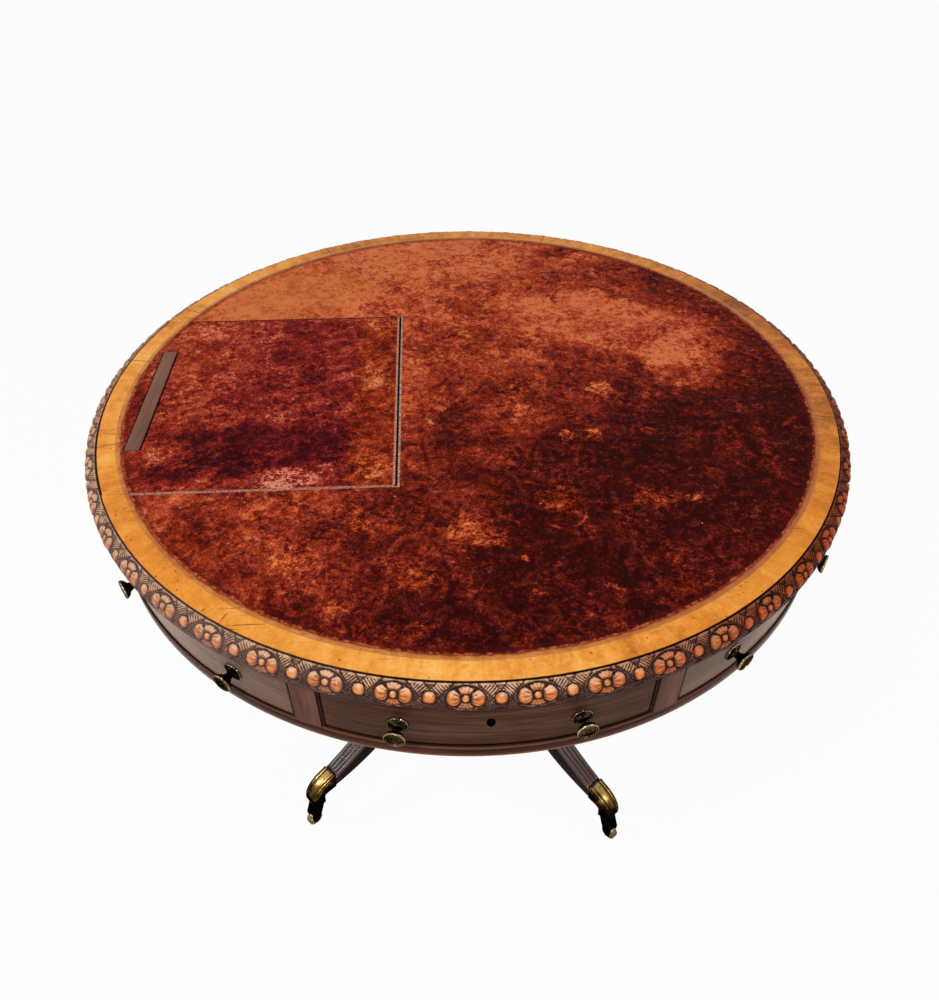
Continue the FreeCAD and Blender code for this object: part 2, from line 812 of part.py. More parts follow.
def make_pivot_nut():
    """Washer and hexagon nut on the spigot's thread, just clear of the hub."""
    z_low = spigot_top()
    z_nut = z_low + washer_thickness
    washer = hoop(spigot_thread_radius, washer_radius, z_low, z_nut)
    corners = []
    for side in range(nut_side_count + 1):
        angle = math.radians(full_turn / nut_side_count * side)
        corners.append(Vector(nut_radius * math.cos(angle), nut_radius * math.sin(angle), z_nut))
    nut = Part.Face(Part.makePolygon(corners)).extrude(Vector(0, 0, nut_height))
    nut = nut.cut(rod(spigot_thread_radius, z_low, z_nut + nut_height + overrun))
    return [washer, nut]


# Shares of the leg's reach and rise, along its back and then along its underside
leg_top_shares = ((0.14, 0.985), (0.25, 0.935), (0.40, 0.782), (0.57, 0.608), (0.70, 0.512),
                  (0.855, 0.4195), (0.925, 0.384), (1.0, 0.349))
leg_under_shares = ((1.0, 0.2945), (0.923, 0.303), (0.80, 0.331), (0.70, 0.370), (0.60, 0.431),
                    (0.46, 0.557))


def make_leg():
    """Sabre leg lying along +X, before it is turned to its place."""
    top = [Vector(leg_reach * a, 0, leg_rise * b) for a, b in leg_top_shares]
    under = [Vector(leg_reach * a, 0, leg_rise * b) for a, b in leg_under_shares]
    under.append(Vector(brace_reach, 0, column_bottom))
    root = Vector(top[0].x, 0, column_bottom)
    edges = [smooth_edge(top), Part.LineSegment(top[-1], under[0]).toShape(), smooth_edge(under),
             Part.LineSegment(under[-1], root).toShape(), Part.LineSegment(root, top[0]).toShape()]
    side = Part.Face(Part.Wire(edges))
    side.translate(Vector(0, -leg_root_width, 0))
    side = side.extrude(Vector(0, 2 * leg_root_width, 0))
    half_root = leg_root_width / 2
    half_toe = leg_toe_width / 2
    plan = [Vector(0, -half_root, 0), Vector(leg_reach, -half_toe, 0), Vector(leg_reach, half_toe, 0),
            Vector(0, half_root, 0)]
    plan = Part.Face(Part.makePolygon(plan + plan[:1])).extrude(Vector(0, 0, table_height))
    leg = side.common(plan)
    return leg.cut(rod(block_radius, column_bottom - overrun, leg_rise + overrun))


# Shares of the cap's length, and of its fall measured down from its top or up from its foot
cap_top_shares = ((0.0, 0.0), (0.356, 0.104), (0.634, 0.226), (0.832, 0.377), (0.954, 0.557),
                  (1.0, 0.736), (0.98, 0.887), (0.921, 1.0))
cap_low_shares = ((0.505, 0.0), (0.485, 0.189), (0.455, 0.377), (0.0, 0.443))


def make_toe_cap(leg):
    """Brass box toe over the leg's end, with a knuckle that turns down to the castor."""
    half = leg_toe_width / 2 + cap_wall
    span = cap_end - cap_start
    fall = cap_top - cap_bottom
    top = [Vector(cap_start + span * a, 0, cap_top - fall * b) for a, b in cap_top_shares]
    low = [Vector(cap_start + span * a, 0, cap_bottom + fall * b) for a, b in cap_low_shares]
    corners = [top[-1]] + low + [top[0]]
    edges = [smooth_edge(top)]
    for start, end in zip(corners, corners[1:]):
        edges.append(Part.LineSegment(start, end).toShape())
    side = Part.Face(Part.Wire(edges))
    side.translate(Vector(0, -half, 0))
    cap = side.extrude(Vector(0, 2 * half, 0)).cut(leg)
    bore = rod(castor_pin_radius + run_clearance, cap_bottom - overrun, cap_bottom + castor_pin_length,
               castor_offset)
    return max(cap.cut(bore).Solids, key=lambda solid: solid.Volume)


def make_castor_horn():
    """Brass fork with its swivel pin and axle, behind a leg that lies along +X."""
    z_plate = cap_bottom - seat_gap
    x_wheel = castor_offset + castor_trail
    z_wheel = castor_wheel_radius
    inner = castor_wheel_width / 2 + castor_play
    outer = inner + castor_cheek
    z_crown = 2 * castor_wheel_radius + castor_crown_gap
    plate = rod(castor_plate_radius, z_plate - castor_plate_thickness, z_plate, castor_offset)
    pin = rod(castor_pin_radius, z_plate - castor_plate_thickness, z_plate + castor_pin_length - seat_gap,
              castor_offset)
    z_shoulder = z_plate - castor_plate_thickness / 2
    z_toe = z_wheel - castor_axle_radius
    neck = castor_plate_radius - castor_plate_lip
    side = [(castor_offset - neck, z_shoulder),
            (x_wheel - castor_fork_foot, z_toe),
            (x_wheel + castor_fork_foot, z_toe),
            (x_wheel + castor_fork_head, z_crown),
            (castor_offset + neck, z_shoulder)]
    fork = outline_prism(side, -outer, outer)
    gap = block(castor_offset - 2 * castor_plate_radius, x_wheel + 2 * castor_wheel_radius, -inner, inner,
                -overrun, z_crown)
    fork = fork.cut(gap).fuse(plate).fuse(pin)
    half_axle = outer + castor_axle_head
    axle = cross_rod(castor_axle_radius, x_wheel, z_wheel, -half_axle, half_axle)
    return fork.fuse(axle).removeSplitter()


def make_castor_wheel():
    half = castor_wheel_width / 2
    x_wheel = castor_offset + castor_trail
    z_wheel = castor_wheel_radius
    wheel = cross_rod(castor_wheel_radius, x_wheel, z_wheel, -half, half)
    return wheel.cut(cross_rod(castor_axle_radius + run_clearance, x_wheel, z_wheel, -2 * half, 2 * half))


def leg_turns():
    """Turn from +X to each leg, with the base standing a little round under the drum."""
    return [-bay_deg + base_turn_deg + quarter * place for place in range(leg_count)]


def make_brace():
    """Iron cross under the column that ties the four legs."""
    z_low = column_bottom - brace_thickness
    half = brace_arm_width / 2
    arms = [rod(brace_hub_radius, z_low, column_bottom)]
    for turn_deg in leg_turns():
        arms.append(spun(block(0, brace_reach, -half, half, z_low, column_bottom), turn_deg))
    plate = arms[0].multiFuse(arms[1:]).removeSplitter()
    for hole in brace_holes(screw_radius, z_low - overrun, column_bottom + overrun):
        plate = plate.cut(hole)
    return plate


def brace_holes(radius, z_low, z_high):
    holes = []
    for turn_deg in leg_turns():
        for share in screw_place_shares:
            holes.append(spun(rod(radius, z_low, z_high, brace_reach * share), turn_deg))
    return holes


def make_brace_screws():
    z_plate = column_bottom - brace_thickness
    screws = []
    heads = brace_holes(screw_head_radius, z_plate - screw_head_height, z_plate)
    for head, shank in zip(heads, brace_holes(screw_radius, z_plate, z_plate + screw_length)):
        screws.append(head.fuse(shank).removeSplitter())
    return screws


# Shares of the finial's radius and height, from its tip
finial_shares = (((0.1, 0.0), (0.3, 0.05), (0.4, 0.18), (0.3, 0.3)),
                 ((0.3, 0.3), (0.62, 0.4), (0.8, 0.6), (0.7, 0.8)),
                 ((0.7, 0.8), (1.0, 0.84)), ((1.0, 0.84), (1.0, 1.0)))


def make_finial():
    z_high = column_bottom - brace_thickness
    return turning(scaled(finial_shares, finial_radius, z_high - finial_height, finial_height))


# Write the base
screws = make_brace_screws()
column = make_column()
plain_leg = make_leg()
plain_cap = make_toe_cap(plain_leg)
plain_horn = make_castor_horn()
plain_wheel = make_castor_wheel()
save("column", without(column, screws))
save("bearer_block", make_bearer())
save("pivot_spigot", make_spigot())
save("pivot_nut", make_pivot_nut())
caps = []
for place, turn_deg in enumerate(leg_turns(), start=1):
    save("leg_" + str(place), without(spun(plain_leg, turn_deg), screws))
    save("castor_horn_" + str(place), spun(plain_horn, turn_deg))
    save("castor_wheel_" + str(place), spun(plain_wheel, turn_deg))
    caps.append(spun(plain_cap, turn_deg))
save("toe_caps", caps)
save("leg_brace", make_brace())
save("brace_screws", screws)
save("finial", make_finial())

# Write the drum
save("top_board", make_top_board())
save("leather_top", rod(leather_radius, z_board_top, z_top).cut(slope_opening_skin()))
save("crossband", hoop(leather_radius, top_radius, z_board_top, z_top).cut(slope_opening_skin()))
save("carved_rim", make_carved_rim())
save("top_rail", make_top_rail())
save("bottom_rail", hoop(rail_inner, rail_outer, z_drum_bottom, z_opening_bottom))
save("drum_floor", make_drum_floor())
save("hub_block", make_hub())
save("frieze_stiles", make_stiles())
save("drawer_guides", make_guides())
save("core_boards", make_core())
save("false_fronts", make_false_fronts())
false_knobs = []
for turn_deg in drawer_turns():
    false_knobs += [spun(piece, turn_deg + bay_deg) for piece in make_knob(-1) + make_knob(1)]
save("false_front_knobs", false_knobs)
save("slope_well", make_slope_well())
save("slope_rack", make_rack())
save("hinge_plates", make_hinge_plates())

# Write the reading slope
save("slope_board", make_slope_board())
save("slope_leather", slope_piece(0, leather_radius, z_board_top, z_top).cut(ledge_recess()))
save("slope_crossband", slope_piece(leather_radius, top_radius - slope_rim_gap, z_board_top, z_top))
save("slope_pins", slope_pins())
save("strut_lugs", make_strut_lugs())
save("slope_strut", make_strut())
save("book_ledge", make_book_ledge())

# Write the four working drawers
drawer_front = make_drawer_front()
drawer_box = make_drawer_box()
drawer_brass = make_drawer_brass()
lock_bolt = make_lock_bolt()
for name, turn_deg in zip(("front", "right", "back", "left"), drawer_turns()):
    save(name + "_drawer_face", spun(drawer_front, turn_deg))
    save(name + "_drawer_box", spun(drawer_box, turn_deg))
    save(name + "_drawer_brass", [spun(piece, turn_deg) for piece in drawer_brass])
    save(name + "_lock_bolt", spun(lock_bolt, turn_deg))
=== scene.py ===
import bmesh
import bpy
import math
import numpy as np
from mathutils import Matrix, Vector


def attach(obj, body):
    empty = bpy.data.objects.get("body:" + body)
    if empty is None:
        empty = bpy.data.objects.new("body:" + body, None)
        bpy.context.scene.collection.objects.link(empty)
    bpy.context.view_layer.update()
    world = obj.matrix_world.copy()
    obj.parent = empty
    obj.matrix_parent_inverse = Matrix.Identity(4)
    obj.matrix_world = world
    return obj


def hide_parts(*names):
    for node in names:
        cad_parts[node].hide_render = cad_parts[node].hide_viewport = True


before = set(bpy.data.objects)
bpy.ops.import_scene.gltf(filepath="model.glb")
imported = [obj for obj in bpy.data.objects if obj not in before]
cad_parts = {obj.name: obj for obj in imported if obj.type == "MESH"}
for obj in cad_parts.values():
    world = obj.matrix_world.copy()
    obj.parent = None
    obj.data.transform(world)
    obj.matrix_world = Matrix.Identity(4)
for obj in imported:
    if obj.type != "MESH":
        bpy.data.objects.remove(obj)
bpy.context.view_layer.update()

# Column, bearer block and finial: dark polished mahogany, turned on the lathe.
# The column is one billet with the leg block at its foot; the round bearer is screwed on its head,
# and the finial is pegged up under the brace.


class Finish:
    """A surface finish, or the room's light, worked up from shader nodes laid one after another."""

    def __init__(self, name, kind=bpy.data.materials):
        self.material = kind.new(name)
        self.material.use_nodes = True
        self.nodes = self.material.node_tree.nodes
        self.links = self.material.node_tree.links
        self.nodes.clear()
        self.place = self.add("ShaderNodeTexCoord").outputs["Object"]
        split = self.add("ShaderNodeSeparateXYZ", {0: self.place})
        self.x, self.y, self.z = split.outputs

    def add(self, kind, inputs=None, **settings):
        node = self.nodes.new(kind)
        for key, value in settings.items():
            setattr(node, key, value)
        for key, value in (inputs or {}).items():
            if isinstance(value, bpy.types.NodeSocket):
                self.links.new(value, node.inputs[key])
            else:
                node.inputs[key].default_value = value
        return node

    def calc(self, how, a, b=0.0, c=0.0):
        return self.add("ShaderNodeMath", {0: a, 1: b, 2: c}, operation=how).outputs[0]

    def times(self, a, b):
        return self.calc("MULTIPLY", a, b)

    def most(self, first, *others):
        for value in others:
            first = self.calc("MAXIMUM", first, value)
        return first

    def off(self, value, place=0.0):
        """How far a value lies from a place, to either side."""
        return self.calc("ABSOLUTE", self.calc("SUBTRACT", value, place))

    def total(self, *parts):
        """Sum of (value, weight) pairs; a bare number is added as it is."""
        result = 0.0
        for part in parts:
            if isinstance(part, tuple):
                result = self.calc("MULTIPLY_ADD", part[0], part[1], result)
            else:
                result = self.calc("ADD", part, result)
        return result

    def radius(self, x=0.0, y=0.0):
        """Distance from an upright axis, the drum's own unless another is given."""
        across, along = self.calc("SUBTRACT", self.x, x), self.calc("SUBTRACT", self.y, y)
        return self.calc("SQRT", self.calc("MULTIPLY_ADD", across, across, self.times(along, along)))

    def blend_in(self, value, start, end, low=0.0, high=1.0):
        """Soft step from low at start to high at end."""
        inputs = {0: value, 1: start, 2: end, 3: low, 4: high}
        return self.add("ShaderNodeMapRange", inputs, interpolation_type="SMOOTHSTEP").outputs[0]

    def clouds(self, scale, detail=4.0, rough=0.55, twist=0.0, at=None):
        """Soft mottling around zero, features about one over scale of a metre."""
        inputs = {"Vector": at or self.place, "Scale": scale, "Detail": detail, "Roughness": rough,
                  "Distortion": twist}
        noise = self.add("ShaderNodeTexNoise", inputs).outputs[0]
        return self.calc("SUBTRACT", noise, 0.5)

    def dots(self, scale):
        """Scattered dots: distance from each one's middle, and two chance values of its own."""
        cells = self.add("ShaderNodeTexVoronoi", {"Vector": self.place, "Scale": scale, "Randomness": 1.0})
        chance = self.add("ShaderNodeSeparateColor", {0: cells.outputs["Color"]}).outputs
        return cells.outputs["Distance"], chance[0], chance[1]

    def oval(self, where, x, y, length, width, slant, start, end, ragged=None):
        """Soft-edged oval on the table's top, nought at start and one at end, counted in its own radii."""
        inputs = {0: where, 1: (x, y, 0.0), 2: (0.0, 0.0, math.radians(slant)), 3: (length, width, 1.0)}
        near = self.add("ShaderNodeMapping", inputs, vector_type="TEXTURE").outputs[0]
        flat = self.add("ShaderNodeVectorMath", {0: near, 1: (1.0, 1.0, 0.0)},
                        operation="MULTIPLY").outputs[0]
        away = self.add("ShaderNodeVectorMath", {0: flat}, operation="LENGTH").outputs["Value"]
        if ragged:
            away = self.total(away, ragged)
        return self.blend_in(away, start, end)

    def grain_place(self, run, along, across):
        """Coordinates drawn out along the grain: up, x, y, round the drum, or out from its axis."""
        if run == "out":
            r = self.radius()
            turn_x = self.calc("DIVIDE", self.x, r)
            turn_y = self.calc("DIVIDE", self.y, r)
            parts = [self.times(turn_x, across / 2), self.times(turn_y, across / 2),
                     self.times(self.calc("ADD", r, self.z), along)]
        else:
            scales = {"up": (across, across, along), "x": (along, across, across),
                      "y": (across, along, across), "round": (along, along, across)}[run]
            parts = [self.times(axis, scale) for axis, scale in zip((self.x, self.y, self.z), scales)]
        return self.add("ShaderNodeCombineXYZ", {0: parts[0], 1: parts[1], 2: parts[2]}).outputs[0]

    def shades(self, value, stops):
        """Colour picked by value from (place, (red, green, blue)) stops."""
        node = self.add("ShaderNodeValToRGB", {0: value})
        ramp = node.color_ramp
        for place, colour in stops[1:-1]:
            ramp.elements.new(place)
        for element, (place, colour) in zip(ramp.elements, stops):
            element.position = place
            element.color = (*colour, 1.0)
        return node.outputs[0]

    def mixed(self, share, under, over, how="MIX"):
        under, over = (c if isinstance(c, bpy.types.NodeSocket) else (*c, 1.0) for c in (under, over))
        return self.add("ShaderNodeMix", {0: share, 6: under, 7: over}, data_type="RGBA",
                        blend_type=how).outputs[2]

    def stained(self, colour, share, strength, stain):
        """A colour with a stain over it, as strong as share times strength."""
        return self.mixed(self.times(share, strength), colour, stain)

    def done(self, colour, rough, relief=None, depth=0.0002, **fixed):
        """Close the finish with its shader; fixed values go straight on the shader's own sockets."""
        shader = self.add("ShaderNodeBsdfPrincipled", {"Base Color": colour, "Roughness": rough})
        for key, value in fixed.items():
            shader.inputs[key.replace("_", " ")].default_value = value
        if relief is not None:
            bump = self.add("ShaderNodeBump", {"Height": relief, "Strength": 1.0, "Distance": depth})
            self.links.new(bump.outputs[0], shader.inputs["Normal"])
        self.add("ShaderNodeOutputMaterial", {0: shader.outputs[0]})
        return self.material


def wood(name, run, deep, middle, light, gloss=0.3, shine=0.06, streak=0.55, dirt_and_painted_light=None, raised=0.00025,
         **rest):
    """French polished or waxed wood with pores, streaks and a slow drift of colour along the grain."""
    f = Finish(name)
    broad = f.clouds(1.0, 3.0, 0.5, 0.6, f.grain_place(run, 4.0, 28.0))
    lines = f.clouds(1.0, 5.0, 0.65, 0.9, f.grain_place(run, 9.0, 190.0))
    pores = f.clouds(1.0, 2.0, 0.5, 0.0, f.grain_place(run, 60.0, 1500.0))
    drift = f.clouds(5.0, 3.0)
    tone = f.total(0.5, (broad, 0.8), (lines, streak * 1.5), (drift, 0.5))
    colour = f.shades(tone, ((0.2, deep), (0.5, middle), (0.8, light)))
    open_pore = f.blend_in(pores, 0.12, 0.3)
    colour = f.stained(colour, open_pore, 0.55, [0.45 * c for c in deep])
    if dirt_and_painted_light:
        colour = dirt_and_painted_light(f, colour)
    wear = f.clouds(38.0, 5.0, 0.7)
    rough = f.total(gloss, (wear, 0.22), (open_pore, 0.1))
    relief = f.total((lines, 0.3), (open_pore, -0.5), (wear, 0.15))
    return f.done(colour, rough, relief, raised, Specular_IOR_Level=shine, **rest)


def dress(finish, *nodes):
    """Give a finish to CAD pieces that keep their own shape."""
    for node in nodes:
        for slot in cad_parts[node].material_slots:
            slot.material = finish


dark_deep, dark_middle, dark_light = (0.010, 0.0035, 0.0025), (0.030, 0.010, 0.006), (0.085, 0.028, 0.015)
dark_turned = wood("dark_mahogany_turned", "up", dark_deep, dark_middle, dark_light, gloss=0.2, shine=0.16)
dress(dark_turned, "column", "finial")
dress(wood("dark_mahogany_block", "x", dark_deep, dark_middle, dark_light, gloss=0.24, shine=0.12),
      "bearer_block")

# Pivot spigot, nut, leg brace and its screws, and the drawer lock bolts: black wrought iron, filed
# by hand and lightly rusted. The cross plate is screwed up into the column and the four legs.


def iron(name):
    f = Finish(name)
    scale_marks = f.clouds(70.0, 6.0, 0.7)
    rust = f.blend_in(f.clouds(16.0, 5.0, 0.65, 0.8), 0.06, 0.2)
    colour = f.shades(f.total(0.5, (scale_marks, 1.6)),
                      ((0.2, (0.012, 0.011, 0.011)), (0.8, (0.075, 0.068, 0.062))))
    colour = f.stained(colour, rust, 0.7, (0.10, 0.032, 0.012))
    return f.done(colour, f.total(0.48, (scale_marks, 0.35), (rust, 0.2)), scale_marks, 0.0004, Metallic=0.75)


black_iron = iron("wrought_iron")
dress(black_iron, "pivot_spigot", "pivot_nut", "leg_brace", "brace_screws")

# Four sabre legs: dark mahogany, sawn to a curve, tapering to the toe, and reeded along the back
# with four reeds that end in round noses just above the brass. Each is dovetailed into the column.
# The lines of its back and belly are given as shares of its reach and rise.
leg_reach, leg_rise, leg_start, leg_end = 352.0, 292.0, 58.0, 350.0
root_end, root_low, root_half, toe_half, cap_start = 100.0, 214.0, 21.0, 14.6, 325.0
leg_back = ((0.14, 0.985), (0.25, 0.935), (0.40, 0.782), (0.57, 0.608), (0.70, 0.512), (0.855, 0.4195),
            (0.925, 0.384), (1.0, 0.349))
leg_belly = ((1.0, 0.2945), (0.923, 0.303), (0.80, 0.331), (0.70, 0.370), (0.60, 0.431), (0.46, 0.557))
leg_turns = [-50.6 + 90.0 * k for k in range(4)]
reed_count, reed_steps, reed_depth, reed_end, reed_nose = 4, 11, 3.0, 323.5, 5.0
reed_margin, reed_round, arris, corner = 1.0, 0.96, 2.0, 0.6
line_steps, shaft_rings, nose_rings, toe_rings, side_steps = 240, 64, 12, 8, 5


def smooth_line(points, steps):
    """Evenly spread points along a smooth curve through a few given ones."""
    p = np.array(points, float)
    t = np.concatenate([[0.0], np.cumsum(np.linalg.norm(np.diff(p, axis=0), axis=1))])
    gap = np.diff(t)
    count = len(t)
    left = np.eye(count)
    right = np.zeros_like(p)
    for i in range(1, count - 1):
        left[i, i - 1:i + 2] = (gap[i - 1], 2 * (gap[i - 1] + gap[i]), gap[i])
        right[i] = 6 * ((p[i + 1] - p[i]) / gap[i] - (p[i] - p[i - 1]) / gap[i - 1])
    bend = np.linalg.solve(left, right)
    s = np.linspace(0.0, t[-1], steps)
    i = np.clip(np.searchsorted(t, s, side="right") - 1, 0, count - 2)
    g = gap[i][:, None]
    a = (t[i + 1][:, None] - s[:, None]) / g
    b = 1.0 - a
    return a * p[i] + b * p[i + 1] + ((a ** 3 - a) * bend[i] + (b ** 3 - b) * bend[i + 1]) * g * g / 6


def turned(points, degrees):
    """Points turned about the drum's axis."""
    c, s = math.cos(math.radians(degrees)), math.sin(math.radians(degrees))
    x, y = points[..., 0], points[..., 1]
    return np.stack([x * c - y * s, x * s + y * c, points[..., 2]], axis=-1)


def piece(name, patches, finish, body, stands_for=(), sharp=35.0):
    """One piece from gridded skins in millimetres; each is (points, wraps across, wraps along),
    or a flat cap given as ("cap", points), and a mark for how bright it is coloured may come last: wear
    together with painted light and shade.
    The finish is one for the whole piece, or a list with one for each skin."""
    corners, faces, wear_and_painted_light, start = [], [], [], 0
    coats = finish if isinstance(finish, list) else [finish] * len(patches)
    kinds = list(dict.fromkeys(coats))
    for patch in patches:
        if isinstance(patch[0], str):
            points = np.asarray(patch[1], float).reshape(-1, 3)
            faces.append(("cap", np.arange(len(points)) + start))
            wear_and_painted_light.append(np.full(len(points), patch[2] if len(patch) > 2 else 0.0))
        else:
            grid, wrap_a, wrap_b = patch[:3]
            points = np.asarray(grid, float)
            a, b = points.shape[:2]
            wear_and_painted_light.append(np.broadcast_to(patch[3] if len(patch) > 3 else 0.0, (a, b)).ravel())
            place = np.arange(a * b).reshape(a, b) + start
            if wrap_a:
                place = np.vstack([place, place[:1]])
            if wrap_b:
                place = np.hstack([place, place[:, :1]])
            quads = np.stack([place[:-1, :-1], place[1:, :-1], place[1:, 1:], place[:-1, 1:]], axis=-1)
            faces.append(("quads", quads.reshape(-1, 4)))
            points = points.reshape(-1, 3)
        corners.append(points)
        start += len(points)
    corners = np.concatenate(corners) / 1000.0
    loops = np.concatenate([group.ravel() for kind, group in faces])
    sizes = np.concatenate([np.full(len(group), 4) if kind == "quads" else [len(group)]
                            for kind, group in faces])
    mesh = bpy.data.meshes.new(name)
    mesh.vertices.add(len(corners))
    mesh.vertices.foreach_set("co", corners.astype(np.float32).ravel())
    mesh.loops.add(len(loops))
    mesh.loops.foreach_set("vertex_index", loops.astype(np.int32))
    mesh.polygons.add(len(sizes))
    mesh.polygons.foreach_set("loop_start", np.concatenate([[0], np.cumsum(sizes)[:-1]]).astype(np.int32))
    coat = [np.full(len(group) if kind == "quads" else 1, kinds.index(own))
            for (kind, group), own in zip(faces, coats)]
    mesh.polygons.foreach_set("material_index", np.concatenate(coat).astype(np.int32))
    mesh.update(calc_edges=True)
    wear_and_painted_light = np.concatenate(wear_and_painted_light).astype(np.float32)
    if wear_and_painted_light.any():
        mesh.attributes.new("wear_and_painted_light", "FLOAT", "POINT").data.foreach_set("value", wear_and_painted_light)
    work = bmesh.new()
    work.from_mesh(mesh)
    bmesh.ops.remove_doubles(work, verts=work.verts, dist=2e-6)
    bmesh.ops.recalc_face_normals(work, faces=work.faces)
    work.to_mesh(mesh)
    work.free()
    mesh.polygons.foreach_set("use_smooth", np.ones(len(mesh.polygons), bool))
    mesh.set_sharp_from_angle(angle=math.radians(sharp))
    for kind in kinds:
        mesh.materials.append(kind)
    made = bpy.data.objects.new(name, mesh)
    bpy.context.scene.collection.objects.link(made)
    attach(made, body)
    if stands_for:
        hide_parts(*stands_for)
    return made


def placed(patches, degrees):
    """A set of skins turned about the drum's axis."""
    return [("cap", turned(np.asarray(p[1], float), degrees), *p[2:]) if isinstance(p[0], str)
            else (turned(np.asarray(p[0], float), degrees), *p[1:]) for p in patches]


def leg_shape():
    """Closed skin of one leg along +X, from inside the leg block to inside the toe cap."""
    back = smooth_line([(leg_reach * a, leg_rise * b) for a, b in leg_back], line_steps)
    belly = [(leg_reach * a, leg_rise * b) for a, b in leg_belly] + [(root_end, root_low)]
    belly = smooth_line(belly, line_steps)[::-1]
    noses = reed_end - reed_nose
    stations = np.concatenate([np.linspace(leg_start, noses - 1, shaft_rings),
                               np.linspace(noses, reed_end, nose_rings),
                               np.linspace(cap_start, leg_end, toe_rings)])
    rings = []
    for x in stations:
        z_high = np.interp(x, back[:, 0], back[:, 1])
        z_low = np.interp(x, belly[:, 0], belly[:, 1]) if x > root_end else root_low
        half = root_half + (toe_half - root_half) * x / leg_reach
        nose = np.clip((x - noses) / reed_nose, 0.0, 1.0)
        swell = math.sqrt(1.0 - nose * nose)
        pitch = 2 * (half - reed_margin) / reed_count
        upright = z_high - z_low - reed_depth - arris - corner
        ring = [(half - arris, z_low), (half - corner, z_low + corner), (half, z_low + arris)]
        ring += [(half, z_low + arris + upright * k / side_steps) for k in range(1, side_steps + 1)]
        first = len(ring) - 1
        for reed in range(reed_count):
            for t in np.linspace(-reed_round, reed_round, reed_steps):
                rise = math.sqrt(1 - t * t) * swell
                across = half - reed_margin - pitch * (reed + (t + 1) / 2)
                ring.append((across, z_high - reed_depth * (1 - rise)))
        last = len(ring)
        z_foot = z_high - reed_depth - corner
        ring += [(-half, z_foot - upright * k / side_steps) for k in range(side_steps + 1)]
        ring += [(-half + corner, z_low + corner), (-half + arris, z_low)]
        rings.append([(x, y, z) for y, z in ring])
    rings = np.array(rings)
    sides = np.concatenate([rings[:, last:], rings[:, :first + 1]], axis=1)
    return [(rings[:, first:last + 1], False, False), (sides, False, False), ("cap", rings[0]),
            ("cap", rings[-1])]


reed_wood = wood("dark_mahogany_reeds", "out", dark_deep, (0.036, 0.010, 0.006), (0.11, 0.028, 0.014),
                 gloss=0.22, shine=0.60, raised=0.000005)
# The leg's sides are a far darker copy of the reeds' wood: painted shade for sides that face away from the
# light.
leg_side_shaded = wood("dark_mahogany_legs_painted_shade", "out", (0.004, 0.0015, 0.001), (0.010, 0.004, 0.003),
                (0.024, 0.009, 0.006), gloss=0.35, shine=0.01)
for number, turn in enumerate(leg_turns, start=1):
    piece("reeded_leg_%d" % number, placed(leg_shape(), turn), [reed_wood] + [leg_side_shaded] * 3, "base",
          ["leg_%d" % number])

# Toe caps: cast brass box toes, slipped over the leg ends and pinned. A smooth panel runs down the
# back between two dark grooves, with a bead on each shoulder, and the nose turns down to the castor.
cap_back = ((cap_start, 115.0), (343.0, 109.5), (357.0, 103.0), (367.0, 95.0), (373.2, 85.5), (375.5, 76.0),
            (374.5, 68.0), (371.5, 62.0))
cap_belly = ((350.5, 62.0), (349.5, 72.0), (348.0, 82.0), (336.0, 84.2), (cap_start, 85.5))
cap_taper, taper_start, taper_length = 0.16, 345.0, 30.0
# Across the cap from its middle: distance out, how far sunk there, and how bright it is coloured: wear with
# painted highlight on the panel and beads, dark in the grooves, and painted shade down the sides.
cap_section = ((0.0, 0.0, 1.0), (3.5, 0.08, 1.0), (5.6, 0.35, 0.85), (6.9, 0.8, 0.6), (7.7, 1.4, 0.0),
               (8.4, 1.45, 0.0), (9.0, 0.75, 0.45), (10.0, 0.3, 0.85), (11.2, 0.3, 0.8), (12.3, 0.75, 0.4),
               (12.9, 1.5, 0.0), (13.6, 1.6, 0.0), (14.6, 1.7, 0.12), (15.7, 2.4, 0.08), (16.4, 3.7, 0.03),
               (16.6, 5.4, 0.0))


def brass(name, deep, middle, bright, rub=0.5, rough=0.34, polished=0.0, edge=0.3):
    """Old brass with dark patina; a piece's mark, weighted by polished, lightens it where worn and where
    highlight is painted, and leaves it dark in the hollows and where shade is painted.
    """
    f = Finish(name)
    patina = f.clouds(60.0, 6.0, 0.65, 0.5)
    stain = f.clouds(16.0, 4.0, 0.6, 0.8)
    pits = f.clouds(420.0, 3.0, 0.6)
    tone = f.total(rub, (patina, 0.9), (stain, 0.7), (pits, 0.3))
    if polished:
        tone = f.total(tone, (f.add("ShaderNodeAttribute", attribute_name="wear_and_painted_light").outputs["Fac"], polished))
    colour = f.shades(tone, ((0.25, deep), (0.55, middle), (0.9, bright)))
    roughness = f.total(rough, (patina, -0.35), (pits, 0.15))
    return f.done(colour, roughness, f.total((patina, 0.3), (pits, 0.35)), 0.00025, Metallic=1.0,
                  Specular_Tint=(edge, edge, edge, 1.0))


